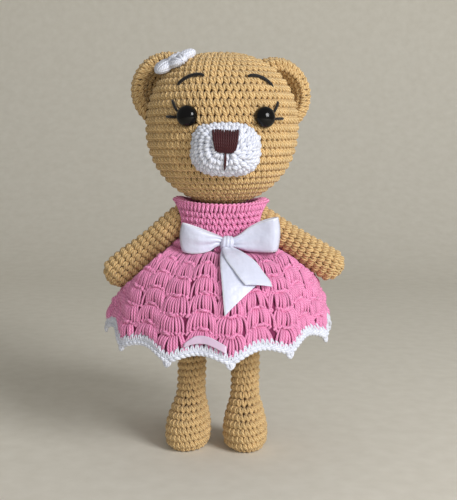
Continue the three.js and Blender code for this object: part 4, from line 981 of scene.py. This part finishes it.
def pressed_height(x, y):
    """Greatest height of the cloth under and beside an arm at rest."""
    slope = np.radians(90 - np.where(x > 0, ARM_SPREAD["left"], ARM_SPREAD["right"]))
    out = np.abs(x) - SHOULDER[0]
    along = out / np.cos(slope)
    radius = HAND_RADIUS + 1.3 * along / ARM_LENGTH + PRESSED_GAP
    middle = SHOULDER[1] - out * np.tan(slope)
    beside = middle - radius / np.cos(slope) + PRESSED_SLOPE * np.abs(y)
    under = middle - np.sqrt(np.maximum(radius ** 2 - y ** 2, 0)) / np.cos(slope)
    return np.where(along > PRESSED_REACH, 999, np.minimum(beside, under))


def skirt_at(angle, share, off=0.0):
    """A point on the skirt's outside, or off it along its bell's outward direction."""
    angle, share = np.broadcast_arrays(np.asarray(angle, float), np.asarray(share, float))
    r, h = np.moveaxis(eased(SKIRT_CURVE, share), -1, 0)
    ahead, behind = eased(SKIRT_CURVE, share + 0.004), eased(SKIRT_CURVE, share - 0.004)
    slope_r, slope_h = np.moveaxis(unit(ahead - behind), -1, 0)
    turn = angle - SCALLOP_TURN
    r = r + FOLD_DEPTH * (share ** 2 - 0.35 * share ** 8) * np.cos(SCALLOPS * turn)
    for place, spread, high in HANGING_FOLDS:
        beside = (angle - math.radians(place) + math.pi) % (2 * math.pi) - math.pi
        ridge = high * np.exp(-(beside / math.radians(spread)) ** 2)
        r = r + ridge * np.sin(math.pi * np.clip(share, 0, 1)) ** 2
    swell = np.clip((share - PUFF[3]) / (PUFF[4] - PUFF[3]), 0, 1)
    from_front = np.arccos(np.minimum(np.abs(np.sin(angle)), 1))
    puff = PUFF[0] * np.exp(-((from_front - PUFF[1]) / PUFF[2]) ** 2) * np.sin(math.pi * swell) ** 2
    rise = HEM_SIDE_LIFT * np.cos(angle + HEM_SKEW) ** 2 + SCALLOP_DEPTH * np.abs(np.sin(SCALLOPS / 2 * turn))
    x, y = r * np.cos(angle), r * np.sin(angle)
    z = np.minimum(h + puff + share ** 2 * rise, pressed_height(x, y))
    return np.stack([x - off * slope_h * np.cos(angle), y - off * slope_h * np.sin(angle), z + off * slope_r],
                    axis=-1)


round_skirt = SCALLOP_TURN + 2 * math.pi * np.arange(2 * AROUND) / (2 * AROUND)
shares = np.linspace(0.0, 0.995, 40)[:, None]
cloth = np.concatenate([skirt_at(round_skirt, shares, SKIRT_DEPTHS[0]),
                        skirt_at(round_skirt, shares[::-1], SKIRT_DEPTHS[1])])[::-1]
# a sheet under the fans, painted dark pink as the shade seen between them
skirt_shade_cloth = plain_mesh("skirt_shade_cloth", closed_skin(cloth, is_hoop=True), pink_shade_lining)
fitted(skirt_shade_cloth, "torso", "pink_yarn")
fine = np.linspace(FIRST_ROW[1], 0.99, 400)
walked = running(np.linalg.norm(np.diff(eased(SKIRT_CURVE, fine), axis=0), axis=1))
rows = [FIRST_ROW[0]] + list(np.interp(np.linspace(0, walked[-1], FAN_ROWS), walked, fine))
column = 2 * math.pi / COLUMNS
t, knot_t, bar = np.linspace(0, 1, 7), np.linspace(0, 1, 4), np.linspace(-1, 1, 6)
rng = np.random.default_rng(7)
fans = []
for row in range(FAN_ROWS):
    top, foot = rows[row], rows[row + 1]
    tall = foot - top
    narrow = 0.6 if row else 0.66
    spread = narrow + (1 - narrow) * (1 - (1 - t) ** 3)
    radius = eased(SKIRT_CURVE, np.array(foot))[0]
    thick = min(0.95 * radius * column / FAN_POSTS, THICKEST_POST) / SKIRT_YARN
    for n in range(COLUMNS):
        middle = SCALLOP_TURN + column * (n + rng.normal(0, UNEVEN["place"]))
        proud, droop = rng.normal(1, UNEVEN["height"]), rng.normal(0, UNEVEN["droop"])
        for f in np.linspace(-1, 1, FAN_POSTS):
            # a post of the fan
            lean = rng.normal(0, UNEVEN["lean"])
            angle = middle + column * (0.5 * f * spread + lean * t)
            end = 1.0 + droop * f + FAN_SAG * f * f
            lift = -FAN_SINK + proud * (1.35 - 0.7 * f * f) * np.sin(math.pi * t ** 0.75)
            fat = thick * rng.normal(1, UNEVEN["thickness"]) * (0.6 + 0.42 * np.sin(math.pi * t) ** 0.6)
            fans.append((skirt_at(angle, top + tall * (0.1 + (end - 0.1) * t), lift), fat))
            # the knot at its foot
            slant = rng.choice([-1, 1])
            angle = middle + column * (0.49 * (f + slant * (knot_t - 0.5) * 0.16) + lean)
            share = top + tall * (end + 0.12 * (knot_t - 0.5))
            lift = -FAN_SINK + (0.9 - 0.5 * f * f) * np.sin(math.pi * knot_t)
            fans.append((skirt_at(angle, share, lift), 0.85 + 0 * knot_t))
        if row < FAN_ROWS - 1:
            # the chain that the next fan is worked into
            angle = middle + column * (0.15 * bar + rng.normal(0, UNEVEN["place"]))
            share = foot + tall * (0.02 + 0.05 * rng.normal() * bar)
            fans.append((skirt_at(angle, share, 0.35 - 1.2 * bar ** 4), 0.85 + 0.1 * np.cos(bar)))
skirt_stitches = laid("skirt_stitches", fans, pink_yarn, SKIRT_YARN, seed=111)
fitted(skirt_stitches, "torso", "pink_yarn", "dress_skirt")

# Hem edging
# A narrow border of white yarn crocheted on to the pink hem, whose stitches bite up into the pink as points.
# A chain runs along its lower edge, with a round picot at each of the twelve tips.
EDGE_STITCHES = 156
EDGE_YARN = 1.55
EDGE_BITES = (-1.7, -2.5)  # how far up the stitches reach, by turns
# The band behind the stitches: how far its corners lie below the hem and off the skirt
EDGE_BAND = [(-1.2, -1.1), (2.6, -0.7), (2.6, -1.5), (-1.2, -1.7)]
HEM_SLOPE = 0.234  # how far the skirt spreads along its length at the hem
HEM_RADIUS = 53.6
PICOT = 1.5  # radius


def hem_at(angle, below, off):
    """A point below the pink hem, along the slope of the skirt there."""
    outward = np.stack([np.cos(angle), np.sin(angle), 0 * angle], axis=-1)
    down = HEM_SLOPE * outward - math.sqrt(1 - HEM_SLOPE ** 2) * np.array([0, 0, 1.0])
    return skirt_at(angle, 1.0, off) + np.asarray(below)[..., None] * down


band = np.array([hem_at(round_skirt, below, off) for below, off in EDGE_BAND])[::-1]
# a band behind the border, painted pale grey as the shade seen between its stitches
edging_shade_band = plain_mesh("edging_shade_band", closed_skin(band, is_hoop=True), white_shade_lining)
fitted(edging_shade_band, "torso", "white_yarn")
step = 2 * math.pi / EDGE_STITCHES
t = np.linspace(0, 1, 5)
arch = np.sin(math.pi * t)
border = []
for n in range(EDGE_STITCHES):
    # two strands that meet in a point, the chain along the edge and a second one above it
    middle = SCALLOP_TURN + step * n
    for side in (-1, 1):
        angle = middle + step * 0.42 * side * (1 - t)
        border.append((hem_at(angle, between(1.6, EDGE_BITES[n % 2], t), -0.5 + 0.8 * arch), 0.85 - 0.4 * t))
    angle = middle + step * (1.5 * t - 0.75)
    border.append((hem_at(angle, 1.7 + 1.5 * t, -0.9 + 0.9 * arch), 0.75 + 0.45 * arch))
    angle = middle + step * (1.3 * t - 0.65)
    border.append((hem_at(angle, 0.7 + 0.9 * t, -0.9 + 0.7 * arch), 0.7 + 0.3 * arch))
for n in range(SCALLOPS):
    # a picot and the strand that holds it
    middle = SCALLOP_TURN + 2 * math.pi * n / SCALLOPS
    around = np.linspace(-0.6, math.pi + 0.6, 9)
    angle = middle + PICOT / HEM_RADIUS * np.cos(around)
    border.append((hem_at(angle, 3.0 + PICOT * np.sin(around), -0.6), 1.05 + 0 * around))
    border.append((hem_at(middle + 0 * t, 1.8 + 2.2 * t, -0.4 + 0.5 * arch), 1.0 + 0 * t))
edging = fitted(laid("edging", border, white_yarn, EDGE_YARN, seed=121), "torso", "white_yarn", "hem_edging")

# Waist ribbon
# White satin ribbon threaded through holes at the waist, where the dress gathers it into a thin pleated cord.
# Groups of pink posts stand over it, and it shows between them.
RIBBON_WALL = 0.3
LAY_LENGTH = 100  # length of ribbon for one unit of its UV map
RIB_PITCH = 0.5
SASH_FOOT = 99.9
SASH_HEIGHT = 2.0
SASH_RADIUS = 20.2
SASH_PLEATS = 14
PLEAT_DEPTH = 0.75
POST_GROUPS = 24
POST_TOP, POST_HEIGHT = 103.0, 4.2
POST_RADIUS = 19.6


def satin_ribbon(name, colour, selvedge):
    """Woven satin: a soft gloss along the ribbon, fine ribs across it and a brighter edge on each side."""
    material, tree = new_material(name)
    lay = add(tree, "ShaderNodeUVMap", uv_map="lay")
    across, along, _ = add(tree, "ShaderNodeSeparateXYZ", {0: lay}).outputs
    middle = maths(tree, "SUBTRACT", across, 0.5)
    out = maths(tree, "ABSOLUTE", middle)
    edge = add(tree, "ShaderNodeMapRange", {"Value": out, "From Min": 0.455, "From Max": 0.475})
    ribs = maths(tree, "MULTIPLY", along, LAY_LENGTH * 2 * math.pi / RIB_PITCH)
    weft = maths(tree, "SINE", ribs)
    crease = mottle(tree, grain=5, detail=2.0)
    height = maths(tree, "MULTIPLY_ADD", weft, 0.02, crease)
    shade = mixed(tree, edge, linear(colour), linear(selvedge))
    finish_surface(tree, {"Base Color": shade, "Roughness": 0.3, "Anisotropic": 0.5, "Sheen Weight": 0.15,
                          "Normal": relief(tree, height, strength=0.5, depth=1.2)})
    return material


def ribbon(name, rows, material, is_loop=False):
    """A strip of ribbon through rows of points across it, with its thin wall and its own lay as a UV map."""
    rows = np.asarray(rows, float)
    count, across = rows.shape[:2]
    along = np.roll(rows, -1, 0) - np.roll(rows, 1, 0) if is_loop else np.gradient(rows, axis=0)
    outward = unit(np.cross(np.gradient(rows, axis=1), along))
    half_wall = RIBBON_WALL / 2 * outward
    points = np.concatenate([rows + half_wall, rows - half_wall]).reshape(-1, 3)
    under = count * across
    lengths = np.linalg.norm(np.diff(rows[:, across // 2], axis=0), axis=1)
    walked = running(lengths) / LAY_LENGTH
    faces, lay = [], []
    for i in range(count if is_loop else count - 1):
        k = (i + 1) % count
        low, high = walked[i], walked[i] + lengths[i % len(lengths)] / LAY_LENGTH
        for j in range(across - 1):
            a, b, c, d = i * across + j, i * across + j + 1, k * across + j + 1, k * across + j
            u, v = j / (across - 1), (j + 1) / (across - 1)
            faces += [(a, b, c, d), (under + d, under + c, under + b, under + a)]
            lay += [(u, low), (v, low), (v, high), (u, high), (u, high), (v, high), (v, low), (u, low)]
        for j, turn in ((0, 1), (across - 1, -1)):
            a, d = i * across + j, k * across + j
            faces.append((a, d, under + d, under + a)[::turn])
            lay += [(j / (across - 1), low)] * 4
    if not is_loop:
        for i, turn in ((0, -1), (count - 1, 1)):
            for j in range(across - 1):
                a, b = i * across + j, i * across + j + 1
                faces.append((a, b, under + b, under + a)[::turn])
                lay += [(j / (across - 1), walked[i])] * 4
    piece = plain_mesh(name, (points, faces), material)
    piece.data.uv_layers.new(name="lay").data.foreach_set("uv", np.array(lay, np.float32).ravel())
    return piece


t = np.linspace(0, 1, 7)
arch = np.sin(math.pi * t)
posts = []
for n in range(POST_GROUPS):
    for f in (-1, 0, 1):
        angle = SCALLOP_TURN + 2 * math.pi * (n + 0.5 + 0.24 * f) / POST_GROUPS
        out = POST_RADIUS + 2.4 * arch ** 0.5 + 1.2 * t
        line = np.stack([out * math.cos(angle), out * math.sin(angle), POST_TOP - POST_HEIGHT * t], axis=1)
        posts.append((line, 0.8 + 0.3 * arch))
fitted(laid("waist_eyelets", posts, pink_yarn, SKIRT_YARN, seed=131), "torso", "pink_yarn")
satin = satin_ribbon("white_satin", "#D8DCF0", "#ECEFFA")
a = 2 * math.pi * np.arange(96) / 96
sash = []
for n in range(SASH_PLEATS + 1):
    radius = SASH_RADIUS + PLEAT_DEPTH * (n % 2)
    height = SASH_FOOT + SASH_HEIGHT * n / SASH_PLEATS + 0.12 * np.sin(9 * a + n)
    sash.append(np.stack([radius * np.cos(a), radius * np.sin(a), height], axis=1))
piece = ribbon("sash", np.stack(sash, axis=1), satin, is_loop=True)
fitted(piece, "torso", "satin_ribbon", "waist_ribbon")

# Bow
# The same ribbon tied in front of the waist: a wrapped knot, and a loop on each side that opens away from it.
KNOT = (3.4, -24.0, 103.8)  # middle
KNOT_HALF = (2.9, 2.75, 3.6)
# Edges of the loops as they leave the knot and open: sideways, foot and top
LOOPS = {
    "left": [[4.6, 102.5, 106.1], [8.6, 101.8, 107.8], [13.2, 100.6, 111.2], [18.4, 100.4, 114.1],
             [23.4, 100.6, 115.9], [26.6, 100.9, 116.7]],
    "right": [[2.2, 102.6, 106.2], [-1.4, 102.6, 107.8], [-5.0, 100.4, 109.1], [-9.6, 99.5, 110.8],
              [-14.2, 99.4, 112.4], [-17.4, 100.0, 113.4]],
}
LOOP_STEPS = 16
LOOP_HALF_DEPTH = (0.35, 3.2)  # at the knot and where the loop is fullest
LOOP_BULGE = 1.1  # of the rounded end
LOOP_ROLL = {"left": 0.82, "right": 0.55}  # where the ribbon starts to roll back
LOOP_SWAY = {"left": (1.1, 1.25, -0.34), "right": (-1.0, 0.42, 0)}  # height, waves and where they start
LOOP_CREASE = 0.55  # of the pleats at the knot and of the soft wave further out
across = np.linspace(0, 1, 13)
for name, side in SIDES:
    high, waves, start = LOOP_SWAY[name]
    rows = []
    for ply in (-1, 1):
        ply_rows = []
        for n, (x, foot, top) in enumerate(smooth(LOOPS[name], LOOP_STEPS + 1)):
            share = n / LOOP_STEPS
            depth = ply * between(*LOOP_HALF_DEPTH, math.sin(math.pi / 2 * min(1.35 * share, 1)) ** 1.2)
            if share > LOOP_ROLL[name]:
                rolled = (share - LOOP_ROLL[name]) / (1 - LOOP_ROLL[name])
                depth = ply * LOOP_HALF_DEPTH[1] * math.cos(math.pi / 2 * rolled) ** 0.8
            pleats = LOOP_CREASE * (1 - share) ** 1.5 * np.cos(6 * math.pi * across + 0.6 * side)
            soft = LOOP_CREASE * math.sin(math.pi * share) * np.cos(2 * math.pi * across + 1.2 * side)
            sway = high * math.sqrt(share) * math.sin(2 * math.pi * (waves * share + start))
            end = side * LOOP_BULGE * share ** 3 * (1 - (2 * across - 1) ** 2)
            ply_rows.append(np.stack([x + end, KNOT[1] + depth + pleats + soft + sway,
                                      between(foot, top, across)], axis=1))
        rows += ply_rows if ply < 0 else ply_rows[-2::-1]
    piece = ribbon(name + "_bow_loop", np.array(rows)[:, ::side], satin)
    fitted(piece, "torso", "satin_ribbon", f"bow_{name}_loop")
a = 2 * math.pi * np.arange(40) / 40
wrap = []
for x in np.linspace(-1, 1, 21):
    fold = 0.12 * math.cos(11 * x) - 0.9 * abs(x) ** 5
    wrap.append(np.stack([KNOT[0] + KNOT_HALF[0] * x + 0.25 * np.sin(a),
                          KNOT[1] - (KNOT_HALF[1] + fold) * np.cos(a),
                          KNOT[2] + (KNOT_HALF[2] + fold - 0.5 * x * x) * np.sin(a)], axis=1))
knot = ribbon("knot", np.array(wrap).transpose(1, 0, 2)[::-1], satin, is_loop=True)
fitted(knot, "torso", "satin_ribbon", "bow_knot")

# Ribbon tails
# The two ends of the bow's ribbon: they leave from under the knot and hang down the front of the skirt.
# The lower one is cut slanting to a point, and the upper one lies over it and swings out to the bear's left.
# Places down each tail's two edges, on the knot: sideways, forwards, up
TAIL_ROOTS = {
    "right": [[[1.2, -26.2, 102.0], [5.8, -26.2, 102.0]], [[0.6, -27.6, 100.8], [7.2, -27.6, 100.8]]],
    "left": [[[1.6, -27.9, 102.6], [6.0, -27.9, 102.6]], [[1.2, -28.9, 101.6], [8.6, -28.9, 101.6]]],
}
# and below it: share of the skirt and sideways place of each edge
TAILS = {
    "right": [[0.44, 0.3, 0.44, 9.6], [0.54, 0.4, 0.53, 12.6], [0.62, 0.9, 0.60, 14.6],
              [0.70, 1.5, 0.655, 16.2], [0.76, 2.0, 0.69, 17.2], [0.822, 2.6, 0.70, 17.4]],
    "left": [[0.43, 1.8, 0.43, 11.0], [0.50, 3.4, 0.50, 14.4], [0.56, 5.6, 0.56, 17.4],
             [0.62, 7.8, 0.63, 20.2], [0.66, 9.6, 0.68, 22.8], [0.69, 11.2, 0.715, 23.6]],
}
TAIL_OFF = {"right": 1.9, "left": 3.0}  # off the skirt
TAIL_STEPS = 33
across = np.linspace(0, 1, 15)
down = np.linspace(0, 1, TAIL_STEPS)[:, None]
for name, edges in TAILS.items():
    guide = [np.array(root) for root in TAIL_ROOTS[name]]
    for share_a, x_a, share_b, x_b in edges:
        share, x = np.array([share_a, share_b]), np.array([x_a, x_b])
        guide.append(skirt_at(x / eased(SKIRT_CURVE, share)[:, 0] - math.pi / 2, share, TAIL_OFF[name]))
    both = smooth(np.array(guide).reshape(len(guide), 6), TAIL_STEPS).reshape(-1, 2, 3)
    rows = between(both[:, :1], both[:, 1:], across[:, None])
    curl = (0.7 * np.sin(math.pi * across) * (0.3 + down)
            + 0.35 * np.sin(3 * math.pi * across) * (1 - down) ** 2)
    rows = rows + curl[..., None] * np.array([0, -0.85, 0.5])
    piece = ribbon(name + "_tail", rows[::-1], satin)
    fitted(piece, name + "_tail", "satin_ribbon", name + "_ribbon_tail")

# Hem ribbon
# A scrap of narrow sheer ribbon caught on the front of the hem, just above the edging.
SCRAP_START, SCRAP_SPAN = -106, 20  # degrees round the skirt
SCRAP_WIDTH = 0.038  # share of the skirt
sheer_satin = satin_ribbon("sheer_lilac_ribbon", "#DCC3DC", "#E6DDEB")
t = np.linspace(0, 1, 25)
angle = np.radians(SCRAP_START + SCRAP_SPAN * t)
rise = 0.012 * np.sin(math.pi * t) + 0.004
wide = SCRAP_WIDTH * np.minimum(1, 0.55 + 2 * t)
rows = [skirt_at(angle, 0.985 - rise - wide * (1 - f), 1.5 + 0.5 * f) for f in np.linspace(0, 1, 9)]
fitted(ribbon("hem_scrap", np.stack(rows, axis=1), sheer_satin), "torso", "satin_ribbon", "hem_ribbon")

# Studio
# A plain pale floor that sweeps up behind the bear, under a broad lamp from the upper right, a weaker one in
# front and a pale sky.
FLOOR_FRONT, FLOOR_BACK = -1500, 500
SWEEP = 400  # radius of the bend
WALL_TOP = 1800
FLOOR_HALF = 2000
floor_paper, tree = new_material("matt_paper")
grain = mottle(tree, grain=9, detail=4.0)
shade = mixed(tree, grain, linear("#D6D1C4"), linear("#E6E2D7"))
finish_surface(tree, {"Base Color": shade, "Roughness": 0.9, "Specular IOR Level": 0.2})
bend = [(FLOOR_BACK + r, SWEEP - h) for h, r in arc(SWEEP, SWEEP, range(81, -1, -9))]
sweep = [(FLOOR_FRONT, 0), (FLOOR_BACK, 0)] + bend + [(FLOOR_BACK + SWEEP, WALL_TOP)]
points = [(x, y, z) for y, z in sweep for x in (-FLOOR_HALF, FLOOR_HALF)]
faces = [(2 * n, 2 * n + 1, 2 * n + 3, 2 * n + 2) for n in range(len(sweep) - 1)]
plain_mesh("floor", (points, faces), floor_paper)


def lamp(name, place, size, power):
    """A broad lamp aimed at the middle of the bear."""
    light = bpy.data.lights.new(name, "AREA")
    light.size = size
    light.energy = power
    obj = bpy.data.objects.new(name, light)
    x, y, z = np.array([0, 0, 0.1]) - place
    obj.location = place
    obj.rotation_euler = (math.atan2(math.hypot(x, y), -z), 0, math.atan2(-x, y))
    obj.visible_glossy = name == "key_lamp"
    bpy.context.scene.collection.objects.link(obj)


lamp("key_lamp", (0.72, -0.74, 0.58), size=0.45, power=10.0)
lamp("fill_lamp", (0.15, -1.2, 0.3), size=0.9, power=3.4)
world = bpy.data.worlds.new("studio")
world.use_nodes = True
sky = world.node_tree.nodes["Background"].inputs
sky["Color"].default_value = linear("#F4F3F0")
sky["Strength"].default_value = 0.3
bpy.context.scene.world = world
bpy.context.scene.view_settings.view_transform = "Standard"

camera = bpy.data.cameras.new("photo_camera")
camera.lens = 66.7
camera.sensor_width = 36
viewer = bpy.data.objects.new("photo_camera", camera)
viewer.location = (0.0021, -0.450, 0.1562)
viewer.rotation_mode = "ZYX"
viewer.rotation_euler = (math.radians(90 - 7.4), 0, math.radians(0.9))
bpy.context.scene.collection.objects.link(viewer)
bpy.context.scene.camera = viewer
